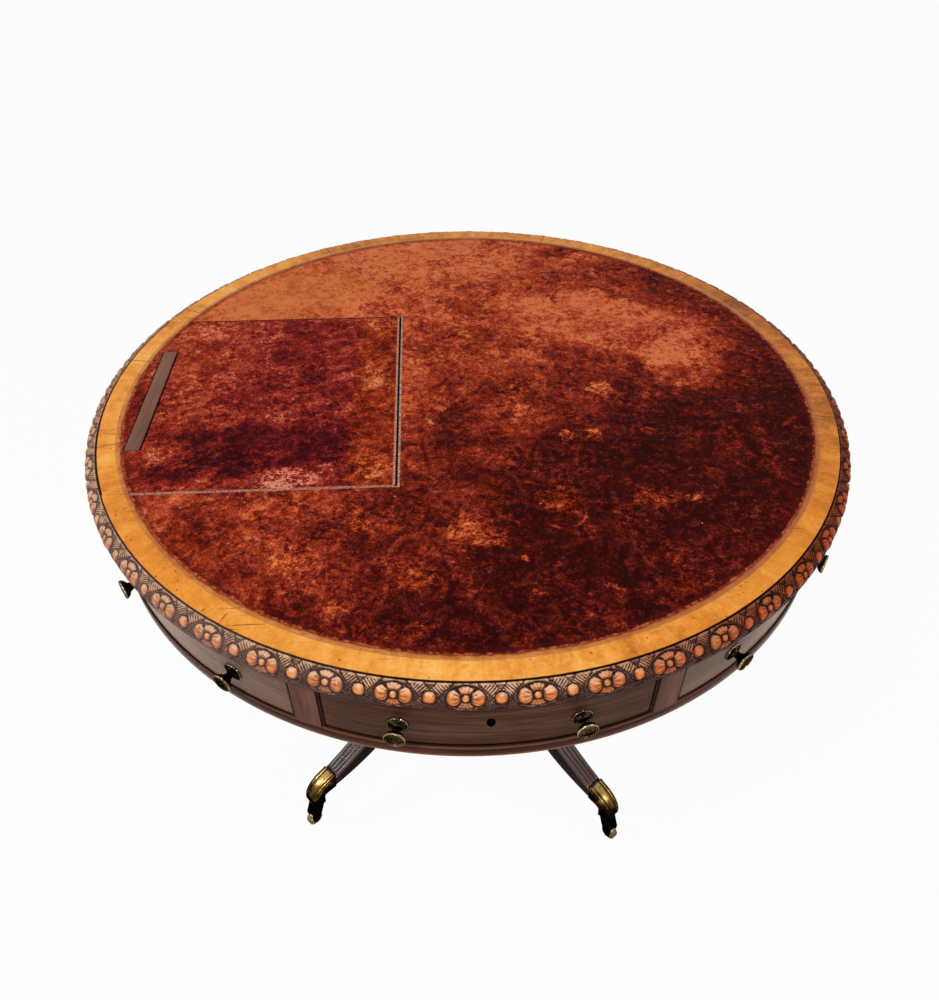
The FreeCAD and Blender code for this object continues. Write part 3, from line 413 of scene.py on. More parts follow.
def sectioned(outline, section, narrow=None):
    """Closed X-Z outline given a section along Y: (place, how far drawn in, how bright it is coloured, as
    wear and painted light).
    """
    line = np.array(outline, float)
    ahead, behind = np.roll(line, -1, axis=0), np.roll(line, 1, axis=0)
    edge = (ahead - line) / np.maximum(np.linalg.norm(ahead - line, axis=1), 1e-6)[:, None]
    back = (line - behind) / np.maximum(np.linalg.norm(line - behind, axis=1), 1e-6)[:, None]
    inward = np.stack([-(edge + back)[:, 1], (edge + back)[:, 0]], axis=1)
    area = np.sum(line[:, 0] * ahead[:, 1] - ahead[:, 0] * line[:, 1])
    inward *= np.sign(area) / np.maximum(np.linalg.norm(inward, axis=1), 1e-6)[:, None]
    grid = []
    for y, inset, shine in section:
        ring = line + inward * inset
        scale = narrow(ring[:, 0]) if narrow else np.ones(len(ring))
        grid.append(np.stack([ring[:, 0], y * scale, ring[:, 1]], axis=1))
    grid = np.array(grid)
    shine = np.array([row[2] for row in section])[:, None]
    return [(grid, False, True, shine), ("cap", grid[0]), ("cap", grid[-1])]


def rounded_plate(outline, low, high, fillet, steps=4, shine=0.0):
    """Flat plate with rounded edges."""
    turns = [math.pi / 2 * k / steps for k in range(steps + 1)]
    rise = [(fillet * (1 - math.cos(a)), fillet * (1 - math.sin(a)), shine) for a in turns]
    return sectioned(outline, [(low + y, inset, p) for y, inset, p in rise]
                     + [(high - y, inset, p) for y, inset, p in rise[::-1]])


def cap_shape():
    """One toe cap, painted brightest along its back where light falls on it; the painted light dies away down
    the nose and turns to painted shade underneath.
    """
    back = smooth_line(cap_back, 40)
    outline = np.concatenate([back, smooth_line(cap_belly, 14)])
    section = [(-y, inset, shine) for y, inset, shine in cap_section[:0:-1]] + list(cap_section)
    skins = sectioned(outline, section,
                      lambda x: 1.0 - cap_taper * np.clip((x - taper_start) / taper_length, 0, 1) ** 1.5)
    # Painted light along the outline, bright on top and in painted shade below: its first edge, the back,
    # down over the nose, and the underside.
    rub_and_painted_light = np.concatenate([[0.25] * 2, [1.0] * 10, np.linspace(1.0, 0.0, 16), [-0.2] * 26])
    grid, across, along, shine = skins[0]
    return [(grid, across, along, shine * rub_and_painted_light[None, :])] + skins[1:]


golden_brass = brass("toe_brass", (0.010, 0.006, 0.003), (0.20, 0.115, 0.028), (0.72, 0.50, 0.17), rub=0.22,
                     rough=0.24, polished=0.52)
caps = [skin for turn in leg_turns for skin in placed(cap_shape(), turn)]
piece("brass_toe_caps", caps, golden_brass, "base", ["toe_caps"])

# Castors: brass horns on a swivel plate, gone nearly black, each with a brass wheel on a riveted
# axle. Rolling has kept the rims of the wheels bright.
swivel_x, wheel_x, wheel_z = 361.0, 373.5, 13.0
cheek_line = ((351.6, 57.0), (354.9, 48.0), (358.7, 37.0), (362.8, 25.0), (366.6, 14.5), (369.5, 10.8),
              (373.5, 10.05), (377.3, 11.0), (379.5, 14.5), (380.3, 22.0), (380.8, 30.0), (378.2, 38.0),
              (374.9, 48.0), (371.9, 57.0))
crown_line = ((351.6, 57.6), (354.9, 48.0), (358.9, 36.6), (362.4, 31.0), (372.0, 30.3), (379.6, 31.0),
              (379.8, 34.0), (377.0, 42.0), (374.2, 50.0), (371.8, 57.6))
cheek_inner, cheek_outer, cheek_fillet, crown_half, crown_fillet = 7.0, 10.0, 0.9, 9.4, 1.6
# Turned parts as (radius, height); the axle and the wheel are turned about the wheel's own axis.
swivel_plate = ((0.02, 54.4), (7.0, 54.4), (9.4, 55.6), (10.9, 57.4), (11.0, 58.6), (10.2, 59.4),
                (10.6, 60.2), (10.4, 61.2), (9.6, 61.7), (4.0, 61.7), (4.0, 76.0), (0.02, 77.0))
axle_half = ((3.0, 9.8), (2.8, 10.4), (1.6, 11.4), (0.02, 11.5))
wheel_half = ((3.05, 5.6), (4.6, 5.6), (5.1, 6.4), (6.4, 6.4), (7.1, 5.2), (9.4, 5.0), (10.2, 6.2),
              (11.9, 6.3), (12.6, 5.4), (13.0, 3.6))


def lathed(profile, steps=48, ripple=None):
    """Skin turned from a (radius, height) profile about an upright axis."""
    angle = np.linspace(0.0, 2 * math.pi, steps, endpoint=False)
    r, h = np.array([point[:2] for point in profile], float).T
    swell = np.ones((steps, len(r)))
    if ripple:
        count, depth, from_height, to_height = ripple
        edge = (h > from_height) & (h < to_height)
        swell -= depth * np.abs(np.sin(angle * count / 2))[:, None] * edge[None, :]
        swell += depth * 0.5 * edge[None, :]
    x = np.cos(angle)[:, None] * r[None, :] * swell
    y = np.sin(angle)[:, None] * r[None, :] * swell
    return np.stack([x, y, np.broadcast_to(h, x.shape)], axis=-1)


def laid_across(points, x, z):
    """A turned skin laid so that its axis runs along Y through (x, z)."""
    return np.stack([points[..., 0] + x, points[..., 2], points[..., 1] + z], axis=-1)


def horn_shape():
    cheek = smooth_line(cheek_line, 44)
    skins = (rounded_plate(cheek, cheek_inner, cheek_outer, cheek_fillet, 3)
             + rounded_plate(cheek, -cheek_outer, -cheek_inner, cheek_fillet, 3)
             + rounded_plate(smooth_line(crown_line, 34), -crown_half, crown_half, crown_fillet, 3))
    skins.append((lathed(swivel_plate) + np.array([swivel_x, 0, 0]), True, False))
    axle = lathed([(r, -h) for r, h in axle_half[::-1]] + list(axle_half), 24)
    skins.append((laid_across(axle, wheel_x, wheel_z), True, False))
    return skins


def wheel_shape():
    tread = lathed([(r, -h) for r, h in wheel_half] + list(wheel_half[::-1]), 56)
    return [(laid_across(tread, wheel_x, wheel_z), True, True)]


dark_brass = brass("castor_brass", (0.004, 0.003, 0.002), (0.020, 0.016, 0.009), (0.26, 0.19, 0.09), rub=0.44,
                   rough=0.3, polished=0.0, edge=0.0)
wheel_brass = brass("castor_wheel_brass", (0.015, 0.010, 0.005), (0.20, 0.145, 0.060), (0.76, 0.60, 0.34),
                    rub=0.54, rough=0.24)
for number, turn in enumerate(leg_turns, start=1):
    piece("castor_fork_%d" % number, placed(horn_shape(), turn), dark_brass, "castor_%d" % number,
          ["castor_horn_%d" % number])
    piece("castor_roller_%d" % number, placed(wheel_shape(), turn), wheel_brass, "wheel_%d" % number,
          ["castor_wheel_%d" % number])

# Carcase of the drum: pine floor, hub, core boards and drawer guides, planed and left bare inside,
# glued and nailed together, with the shallow tray for the strut screwed up under the top.


def pine(name, run):
    f = Finish(name)
    rings = f.clouds(1.0, 4.0, 0.5, 1.2, f.grain_place(run, 3.0, 42.0))
    fine = f.clouds(1.0, 3.0, 0.6, 0.3, f.grain_place(run, 30.0, 700.0))
    grime = f.blend_in(f.clouds(7.0, 6.0, 0.65), 0.0, 0.3)
    colour = f.shades(f.total(0.5, (rings, 1.3), (fine, 0.5)),
                      ((0.2, (0.16, 0.075, 0.028)), (0.55, (0.36, 0.20, 0.085)), (0.85, (0.50, 0.31, 0.15))))
    colour = f.stained(colour, grime, 0.45, (0.10, 0.055, 0.028))
    return f.done(colour, f.total(0.66, (fine, 0.2)), f.total((rings, 0.4), (fine, 0.6)), 0.0003,
                  Specular_IOR_Level=0.3)


dress(pine("pine_x", "x"), "drum_floor", "slope_well")
dress(pine("pine_y", "y"), "hub_block")
dress(pine("pine_round", "round"), "drawer_guides", "core_boards")

# Frieze: curved rails above and below eight bays, with upright stiles between them, veneered in mahogany that
# has faded to a soft brown. The false fronts carry a pale sheen for a bloom of old wax, and a lighter base
# colour than the drawer fronts that is painted glare.
faded_deep, faded_middle, faded_light = (0.032, 0.010, 0.005), (0.066, 0.023, 0.011), (0.130, 0.056, 0.032)
rail_inner, rail_outer, rail_low, rail_high = 467.0, 497.0, 640.5, 656.3
drawer_names, bay_deg = ("front", "right", "back", "left"), 45.0
drawer_turns = {name: 2 * bay_deg * place for place, name in enumerate(drawer_names)}
frieze_wood = wood("faded_mahogany_round", "round", faded_deep, faded_middle, faded_light, gloss=0.24,
                   shine=0.03, streak=0.7)
dress(frieze_wood, "top_rail", *(name + "_drawer_face" for name in drawer_names))
waxy = {"Sheen_Weight": 0.9, "Sheen_Roughness": 0.35, "Sheen_Tint": (1.0, 0.73, 0.58, 1.0)}
# The false fronts' base colour, lighter than the drawer fronts', is painted glare.
dress(wood("waxed_mahogany_painted_glare", "round", (0.050, 0.017, 0.008), (0.100, 0.038, 0.020),
           (0.17, 0.074, 0.044), gloss=0.24, shine=0.03, streak=0.7, **waxy), "false_fronts")
dress(wood("faded_mahogany_up", "up", (0.058, 0.017, 0.009), (0.112, 0.036, 0.020), (0.19, 0.078, 0.048),
           gloss=0.28, shine=0.04, streak=0.6), "frieze_stiles")


def rail_edges(f, colour):
    """Painted highlight: a lighter line at the top arris of the rail, and a painted golden glint along its
    lower edge.
    """
    wobble = f.clouds(60.0, 4.0)
    rub_and_painted_light = f.blend_in(f.total(f.z, (wobble, 0.0016)), 0.6548, 0.6560)
    foot = f.times(f.blend_in(f.total(f.z, (wobble, 0.004)), 0.6460, 0.6422),
                   f.blend_in(f.radius(), 0.4950, 0.4964))
    colour = f.stained(colour, rub_and_painted_light, 0.35, (0.34, 0.17, 0.11))
    return f.stained(colour, foot, 0.8, (0.30, 0.080, 0.015))


rail_wood = wood("red_mahogany_rail", "round", (0.020, 0.0040, 0.0017), (0.046, 0.0105, 0.0045),
                 (0.105, 0.028, 0.013), gloss=0.24, shine=0.03, streak=0.8, dirt_and_painted_light=rail_edges)
rail_profile = [(rail_inner, rail_low), (494.0, rail_low), (496.0, rail_low + 0.2), (496.7, rail_low + 0.6),
                (rail_outer, rail_low + 1.4), (rail_outer, 650.0), (rail_outer, rail_high - 1.0),
                (496.6, rail_high - 0.3), (495.9, rail_high), (480.0, rail_high), (rail_inner, rail_high)]
piece("lower_rail", [(lathed(rail_profile, 360), True, True)], rail_wood, "drum", ["bottom_rail"])

# Cockbeads: slips of dark mahogany let in round each front, standing a little proud of it and rounded over,
# with the quirks beside them coloured near black as painted shade. They guard the veneer's edges.
face_radius, bead_width = 494.5, 4.0
front_half_deg, front_low, front_high = 21.127, 657.3, 728.0
false_half_deg, false_low, false_high = 20.183, rail_high, 729.0
bead_along, bead_up = 61, 6
# Across the bead: how far in from the front's edge, and how far it stands proud.
bead_section = ((0.0, -0.6), (0.0, 0.5), (0.8, 0.7), (1.1, 1.4), (2.0, 1.85), (2.9, 1.4), (3.1, 0.7),
                (bead_width, 0.5), (bead_width, -0.6))


def bead_skins(half_deg, z_low, z_high, turn):
    """Rounded bead that follows the four edges of a curved front: its crest, and its quirks, which are
    coloured black as painted shade.
    """
    half = math.radians(half_deg) * face_radius
    rings = []
    for inset, proud in bead_section:
        across = np.linspace(inset - half, half - inset, bead_along)
        rise = np.linspace(z_low + inset, z_high - inset, bead_up)
        sides = np.ones(bead_up - 2)
        angle = np.concatenate([across, sides * across[-1], across[::-1], sides * across[0]]) / face_radius
        z = np.concatenate([np.full(bead_along, rise[0]), rise[1:-1], np.full(bead_along, rise[-1]),
                            rise[-2:0:-1]])
        r = face_radius + proud
        rings.append(np.stack([r * np.sin(angle), -r * np.cos(angle), z], axis=1))
    rings = turned(np.array(rings), turn)
    return [(rings[2:7], False, True), (rings[[6, 7, 8, 0, 1, 2]], False, True)]


bead_wood = wood("cockbead_mahogany", "round", (0.008, 0.003, 0.002), (0.028, 0.010, 0.006),
                 (0.075, 0.028, 0.017), gloss=0.3, shine=0.03)
quirk_painted_shade = wood("quirk_painted_shade", "round", (0.002, 0.001, 0.001), (0.004, 0.002, 0.002), (0.012, 0.006, 0.004),
                  gloss=0.4, shine=0.01)
for name in drawer_names:
    skins = bead_skins(front_half_deg, front_low, front_high, drawer_turns[name])
    piece(name + "_cockbead", skins, [bead_wood, quirk_painted_shade], name + "_drawer")
skins = []
for turn in drawer_turns.values():
    skins += bead_skins(false_half_deg, false_low, false_high, turn + bay_deg)
piece("false_front_cockbeads", skins, [bead_wood, quirk_painted_shade] * 4, "drum")

# Knobs: two to every bay, turned and chased in brass that has gone nearly black. Each has a scalloped
# back plate, a slim neck and a bell head with a ringed face, and is held by a nut on its spindle.
knob_deg, knob_z = 11.149, 691.94
# Profiles are (radius, height, how bright it is coloured): wear with painted highlight on the rings and rims,
# and painted shade dark in the grooves.
plate_edge = [(0.02, -0.3, 0.0), (11.6, -0.3, 0.0), (11.8, 0.9, 0.5), (11.2, 1.9, 0.75), (10.3, 2.1, 0.35),
              (9.9, 1.6, 0.0), (9.2, 2.2, 0.1), (7.6, 3.0, 0.3), (6.8, 2.7, 0.0), (6.2, 3.3, 0.2),
              (5.0, 4.0, 0.1)]
knob_body = [(4.4, 5.1, 0.0), (4.25, 7.3, 0.0), (4.6, 9.0, 0.2), (5.6, 9.8, 0.5), (5.9, 10.3, 0.6),
             (5.5, 10.8, 0.1), (6.2, 11.7, 0.0), (8.3, 12.9, 0.1), (10.3, 14.6, 0.2), (11.6, 16.5, 0.45),
             (12.0, 18.0, 0.8), (11.9, 18.8, 0.95), (11.3, 19.5, 1.0), (10.6, 19.8, 0.8), (10.1, 19.1, 0.0),
             (9.7, 19.0, 0.0), (9.2, 19.6, 0.5), (8.2, 19.7, 0.6), (7.8, 19.1, 0.1), (7.3, 19.1, 0.1),
             (6.9, 19.4, 0.4), (4.0, 19.7, 0.5), (2.4, 19.5, 0.1), (1.8, 19.8, 0.6), (0.02, 20.0, 0.7)]
spindle_end = [(0.02, -26.5), (2.6, -26.5), (3.0, -26.0), (3.0, -0.3)]
nut_flats = 6
nut_edge = [(3.0, -21.9), (5.6, -21.9), (6.0, -22.4), (6.0, -26.0), (5.5, -26.5), (3.0, -26.5)]
# Scallops of the back plate: how many, their depth as a share of the radius, and the heights between.
scallops = (16, 0.07, 0.0, 2.0)
eye_radius, slot_half, eye_z, slot_foot_z, arc_steps, foot_steps = 2.4, 1.1, 705.0, 698.0, 28, 12
oval_half_width, oval_half_height, oval_z = 4.2, 7.0, 702.2
# The lock case, up its outside and down the bolt's channel: half width, outer and inner face, height.
case_rings = ((24.5, -481.4, -473.1, 692.0), (25.0, -481.9, -472.6, 692.5), (25.0, -481.9, -472.6, 727.5),
              (24.5, -481.4, -473.1, 728.0), (9.4, -480.4, -474.6, 728.0), (9.4, -480.4, -474.6, 709.4))
case_screw = ((0.02, 0.0), (2.6, 0.0), (2.6, 0.3), (1.8, 0.9), (0.02, 1.1))
case_inner, screw_places = -472.6, ((-20.0, 697.0), (20.0, 697.0), (-20.0, 723.0), (20.0, 723.0))


def stood_out(points, turn):
    """A turned skin set with its axis pointing outward through a knob's place."""
    set_out = np.stack([points[..., 0], -face_radius - points[..., 2], knob_z + points[..., 1]], axis=-1)
    return turned(set_out, turn)


def knob_skins(turn):
    profile = plate_edge + knob_body
    rub_and_painted_light = np.array([point[2] for point in profile])[None, :]
    return [(stood_out(lathed(profile, 48, scallops), turn), True, False, rub_and_painted_light),
            (stood_out(lathed(spindle_end, 16), turn), True, False),
            (stood_out(lathed(nut_edge, nut_flats), turn), True, True)]


def knob_pair(turn):
    return knob_skins(turn - knob_deg) + knob_skins(turn + knob_deg)


def keyhole_line(grow):
    """Outline of the keyhole, grown all round, as points (across, height)."""
    eye, slot = eye_radius + grow, slot_half + grow
    meet = math.asin(min(1.0, slot / eye))
    arc = np.linspace(-math.pi / 2 + meet, 1.5 * math.pi - meet, arc_steps)
    line = [(eye * math.cos(a), eye_z + eye * math.sin(a)) for a in arc]
    for a in np.linspace(0, math.pi, foot_steps):
        line.append((-slot * math.cos(a), slot_foot_z - slot * math.sin(a)))
    return np.array(line)


def escutcheon_line(grow):
    """Oval outline round the keyhole, with its points beside those of the keyhole's own."""
    meet = math.asin(slot_half / eye_radius)
    arc = np.concatenate([np.linspace(-math.pi / 2 + meet, 1.5 * math.pi - meet, arc_steps),
                          np.linspace(1.5 * math.pi - meet, 1.5 * math.pi + meet, foot_steps)])
    return np.stack([(oval_half_width + grow) * np.cos(arc),
                     oval_z + (oval_half_height + grow) * np.sin(arc)], axis=1)


# The escutcheon's rings, out from the lock case and back again: (outline, how far grown, distance out).
escutcheon_rings = ((keyhole_line, 1.4, 491.6), (keyhole_line, 1.4, 494.3), (escutcheon_line, 0.4, 494.45),
                    (escutcheon_line, 0.4, 494.8), (escutcheon_line, 0.0, 495.1), (keyhole_line, 0.5, 495.0),
                    (keyhole_line, 0.0, 494.4), (keyhole_line, 0.0, 491.6))


def lock_skins(turn):
    """Escutcheon round the keyhole and the lock's brass case let into the back of the front."""
    rings = []
    for outline, grow, out in escutcheon_rings:
        line = outline(grow)
        rings.append(np.stack([line[:, 0], np.full(len(line), -out), line[:, 1]], axis=1))
    skins = [(turned(np.array(rings), turn), True, True)]
    case = turned(np.array([[(-half, y_out, z), (half, y_out, z), (half, y_in, z), (-half, y_in, z)]
                            for half, y_out, y_in, z in case_rings]), turn)
    skins += [(case, False, True), ("cap", case[0]), ("cap", case[-1])]
    screw = lathed(case_screw, 20)
    for x, z in screw_places:
        head = np.stack([screw[..., 0] + x, case_inner + screw[..., 2], screw[..., 1] + z], axis=-1)
        skins.append((turned(head, turn), True, False))
    return skins


knob_brass = brass("knob_brass", (0.003, 0.002, 0.0015), (0.120, 0.085, 0.045), (0.42, 0.32, 0.185), rub=0.24,
                   rough=0.22, polished=0.54, edge=0.25)
for name in drawer_names:
    turn = drawer_turns[name]
    skins = knob_pair(turn) + lock_skins(turn)
    piece(name + "_drawer_knobs", skins, knob_brass, name + "_drawer", [name + "_drawer_brass"])
    dress(black_iron, name + "_lock_bolt")
skins = [skin for turn in drawer_turns.values() for skin in knob_pair(turn + bay_deg)]
piece("false_front_pulls", skins, knob_brass, "drum", ["false_front_knobs"])

# Drawer linings: quarter-sawn oak, dovetailed and left unpolished, darkened along the top edges
# by two centuries of hands.


def oak(name, run):
    f = Finish(name)
    lines = f.clouds(1.0, 4.0, 0.6, 0.4, f.grain_place(run, 6.0, 260.0))
    rays = f.clouds(1.0, 2.0, 0.5, 0.8, f.grain_place(run, 26.0, 120.0))
    pores = f.blend_in(f.clouds(1.0, 2.0, 0.5, 0.0, f.grain_place(run, 50.0, 1200.0)), 0.1, 0.26)
    handled = f.blend_in(f.total(f.z, (f.clouds(30.0, 4.0), 0.012)), 0.700, 0.717)
    colour = f.shades(f.total(0.5, (lines, 1.1), (rays, 0.5)),
                      ((0.2, (0.19, 0.105, 0.045)), (0.5, (0.37, 0.235, 0.115)), (0.85, (0.52, 0.37, 0.21))))
    colour = f.stained(colour, pores, 0.6, (0.085, 0.045, 0.02))
    colour = f.stained(colour, handled, 0.5, (0.13, 0.07, 0.032))
    return f.done(colour, f.total(0.56, (lines, 0.2)), f.total((lines, 0.4), (pores, -0.6)), 0.0003,
                  Specular_IOR_Level=0.35)


dress(oak("oak_y", "y"), "front_drawer_box", "back_drawer_box")
dress(oak("oak_x", "x"), "left_drawer_box", "right_drawer_box")

# Top board, slope board, strut, rack and book ledge: solid mahogany. The ledge lies flush in the slope's
# leather and has greyed with handling; a black line along its edges is painted shade for the gap round it.
ledge_x, ledge_y = -0.4350, -0.008
board_wood = wood("mahogany_board", "x", (0.045, 0.014, 0.008), (0.12, 0.04, 0.022), (0.24, 0.095, 0.052),
                  gloss=0.34, shine=0.15)
dress(board_wood, "top_board", "slope_board", "slope_strut", "slope_rack")


def ledge_grey_and_painted_shade(f, colour):
    grey = f.blend_in(f.clouds(26.0, 5.0, 0.6, 0.4, f.grain_place("y", 10.0, 60.0)), -0.2, 0.2)
    colour = f.stained(colour, grey, 0.55, (0.215, 0.115, 0.088))
    across = f.off(f.x, ledge_x)
    along = f.off(f.y, ledge_y)
    # A black line along the ledge's edges: painted shade for the gap round it.
    edge = f.most(f.blend_in(across, 0.0088, 0.0103), f.blend_in(along, 0.1150, 0.1163))
    return f.stained(colour, edge, 0.8, (0.020, 0.009, 0.007))


dress(wood("greyed_ledge", "y", (0.105, 0.046, 0.033), (0.215, 0.095, 0.064), (0.32, 0.175, 0.135),
           gloss=0.40, shine=0.02, streak=0.5, dirt_and_painted_light=ledge_grey_and_painted_shade), "book_ledge")
dress(brass("hinge_brass", (0.05, 0.03, 0.012), (0.32, 0.20, 0.07), (0.75, 0.55, 0.25), rub=0.5, rough=0.36),
      "hinge_plates", "slope_pins", "strut_lugs")

# Crossbanding: pale golden mahogany laid with its grain running outward, in lengths that meet at fine dark
# joints. It is scratched and pitted and stained next the leather, and has painted light and shade: darker to
# the right and toward the back, brighter orange over the front sides.
band_inner, band_outer, line_radius = 0.4645, 0.495, 0.4707
band_joints_deg = (-166.5, -190.2, -11.5, 27.0, 71.0, 118.0, 152.0)
# Old cracks near the front left: (x, y, half length, half width, turn in degrees) in metres.
band_cracks = ((-0.2708, -0.4036, 0.0085, 0.0010, 63), (-0.2459, -0.4148, 0.0240, 0.0009, 0),
               (-0.2937, -0.3931, 0.0040, 0.0013, 50), (-0.262, -0.4195, 0.012, 0.0006, -12))


def band_finish(name):
    f = Finish(name)
    r = f.radius()
    fine = f.clouds(1.0, 4.0, 0.6, 0.3, f.grain_place("out", 26.0, 420.0))
    broad = f.clouds(1.0, 3.0, 0.5, 0.5, f.grain_place("out", 12.0, 70.0))
    drift = f.clouds(6.0, 4.0, 0.6, 0.6)
    cloud = f.clouds(42.0, 6.0, 0.7, 0.5)
    grit = f.clouds(260.0, 4.0, 0.7)
    # Painted shade: the banding is made darker to the right and toward the back.
    painted_shade_right_back = f.total(0.14, (f.most(f.x, 0.0), -0.42), (f.y, -0.14))
    tone = f.total(0.50, (fine, 0.22), (broad, 0.45), (drift, 0.9), (cloud, 0.85), (grit, 0.5), painted_shade_right_back)
    colour = f.shades(tone, ((0.10, (0.27, 0.065, 0.010)), (0.34, (0.50, 0.150, 0.020)),
                             (0.55, (0.77, 0.270, 0.036)), (0.74, (0.92, 0.385, 0.066)),
                             (0.95, (0.97, 0.52, 0.14))))
    # Painted light: a brighter orange over the front sides.
    painted_light_front_sides = f.times(f.off(f.x), f.times(f.y, -1.0))
    colour = f.mixed(f.blend_in(f.total(painted_light_front_sides, (drift, 0.05)), 0.03, 0.13, 0.0, 0.45), colour,
                     (0.76, 0.235, 0.018))
    away, chance, _ = f.dots(150.0)
    chosen = f.calc("GREATER_THAN", chance, 0.72)
    pit = f.times(f.blend_in(f.total(away, (grit, 0.9)), 0.19, 0.07), chosen)
    colour = f.stained(colour, pit, 0.72, (0.16, 0.036, 0.010))
    for slant, gap, strength in ((0.2, 0.46, 0.75), (-0.9, 0.47, 0.6), (1.5, 0.465, 0.65)):
        spun_place = f.add("ShaderNodeMapping", {0: f.place, 2: (0.0, 0.0, slant), 3: (9.0, 420.0, 1.0)})
        hair = f.clouds(1.0, 1.0, 0.4, 0.0, spun_place.outputs[0])
        mark = f.blend_in(hair, gap - 0.25, gap - 0.2)
        rare = f.blend_in(f.clouds(19.0, 2.0, 0.5, slant), 0.03, 0.10)
        colour = f.stained(colour, f.times(mark, rare), strength, (0.20, 0.055, 0.018))
    angle = f.calc("ARCTAN2", f.y, f.x)
    joints = []
    for place in band_joints_deg:
        away = f.calc("WRAP", f.calc("SUBTRACT", angle, math.radians(place)), math.pi, -math.pi)
        joints.append(f.blend_in(f.off(f.total(away, (cloud, 0.004))), 0.0022, 0.0010))
    joint = f.most(*joints)
    colour = f.stained(colour, joint, 0.8, (0.10, 0.028, 0.010))
    wobble = f.clouds(90.0, 3.0)
    for crack in band_cracks:
        colour = f.stained(colour, f.oval(f.place, *crack, 1.1, 0.5, (grit, 1.2)), 0.8, (0.16, 0.045, 0.016))
    inner = f.blend_in(f.total(r, (wobble, 0.0060)), band_inner + 0.0017, band_inner + 0.0004)
    outer = f.blend_in(f.total(r, (wobble, 0.0010)), band_outer - 0.0006, band_outer - 0.0002)
    strip = f.blend_in(f.total(r, (cloud, 0.004)), band_inner + 0.0066, band_inner + 0.0056)
    aside = f.blend_in(f.calc("SUBTRACT", f.x, f.y), 0.50, 0.65, 0.50, 0.85)
    colour = f.stained(colour, strip, aside, (0.42, 0.130, 0.040))
    stain = f.blend_in(f.total(r, (cloud, 0.030)), band_inner + 0.0070, band_inner + 0.0003)
    colour = f.stained(colour, stain, 0.50, (0.34, 0.085, 0.030))
    scored = f.off(f.total(r, (wobble, 0.0015)), line_radius)
    scored = f.times(f.blend_in(scored, 0.0008, 0.0003),
                     f.blend_in(f.total(cloud, (drift, 1.0)), -0.10, 0.05))
    colour = f.stained(colour, scored, 0.6, (0.19, 0.055, 0.024))
    pale = f.blend_in(f.off(f.total(r, (wobble, 0.0015)), line_radius), 0.0012, 0.0004)
    behind = f.blend_in(f.y, 0.0, 0.25, 0.10, 0.55)
    colour = f.stained(colour, pale, behind, (0.74, 0.38, 0.16))
    colour = f.stained(colour, inner, 0.85, (0.20, 0.035, 0.014))
    colour = f.stained(colour, outer, 0.8, (0.09, 0.022, 0.010))
    rough = f.total(0.34, (cloud, 0.25), (pit, 0.2))
    relief = f.total((fine, 0.2), (grit, 0.12), (pit, -0.6), (inner, -0.8), (joint, -0.6))
    return f.done(colour, rough, relief, 0.0003, Specular_IOR_Level=0.10)


dress(band_finish("golden_crossband"), "crossband", "slope_crossband")

# Writing leather: one worn hide skived thin at its edge, glued to the board and rubbed with red polish.
# Sun has bleached it to terracotta at the back, ink and books have darkened it in front, and cups
# have left rings. The slope has its own piece, redder, with a paler strip that a book used to cover.
leather_radius, gap_x, slope_middle, slope_half = 0.4645, -0.0970, -0.008, 0.1999
# Each patch or spot is (x, y, half length, half width, turn in degrees, how much lighter) in metres.
# The first patch, lighter over the right back of the top, is painted sheen.
top_patches = ((0.24, 0.15, 0.17, 0.085, -24, 0.29), (0.31, 0.04, 0.055, 0.075, -15, 0.29),
               (0.31, 0.30, 0.085, 0.045, -38, -0.14), (0.175, 0.405, 0.035, 0.025, 0, -0.20),
               (0.13, 0.36, 0.05, 0.04, -20, -0.05), (0.06, 0.06, 0.06, 0.035, 20, 0.09),
               (0.0, 0.12, 0.10, 0.05, 0, -0.05), (0.235, -0.245, 0.235, 0.195, 18, -0.13),
               (0.10, -0.18, 0.045, 0.05, 0, -0.07), (0.10, -0.34, 0.045, 0.06, 10, -0.07),
               (0.29, -0.25, 0.035, 0.07, -10, -0.06), (0.37, -0.16, 0.06, 0.045, 45, -0.07),
               (-0.22, -0.33, 0.07, 0.04, -30, 0.06), (0.0, -0.42, 0.20, 0.03, 0, -0.05),
               (-0.04, -0.14, 0.04, 0.05, 0, -0.06), (0.42, -0.02, 0.05, 0.10, 6, -0.09),
               (0.0, 0.39, 0.22, 0.08, 0, 0.06), (-0.30, 0.26, 0.16, 0.12, 28, 0.04))
top_spots = ((0.181, -0.014, 0.018, 0.015, 0, 0.27), (0.123, -0.122, 0.012, 0.013, 0, 0.29),
             (0.158, -0.118, 0.014, 0.014, 30, 0.26), (-0.005, -0.290, 0.036, 0.026, -14, 0.20),
             (0.01, -0.305, 0.018, 0.010, 20, 0.14), (-0.075, -0.360, 0.030, 0.016, 20, 0.16),
             (-0.213, -0.325, 0.024, 0.020, 0, 0.18), (-0.135, -0.268, 0.014, 0.024, 30, 0.16),
             (0.258, -0.247, 0.005, 0.005, 0, 0.40), (0.048, -0.335, 0.007, 0.005, 0, 0.36),
             (-0.053, -0.080, 0.0042, 0.0038, 0, 0.75), (-0.26, -0.25, 0.016, 0.010, 0, 0.12),
             (0.10, -0.24, 0.028, 0.034, 0, 0.12), (0.215, -0.245, 0.034, 0.016, 10, 0.12),
             (0.062, -0.02, 0.018, 0.022, 0, 0.12), (0.14, -0.385, 0.014, 0.007, -8, 0.24),
             (-0.16, -0.40, 0.020, 0.010, 30, 0.18), (0.235, -0.115, 0.020, 0.009, -20, 0.18),
             (0.07, -0.055, 0.012, 0.016, 0, 0.16), (0.147, 0.238, 0.004, 0.012, 10, -0.40),
             (0.185, 0.412, 0.010, 0.006, 0, -0.30))
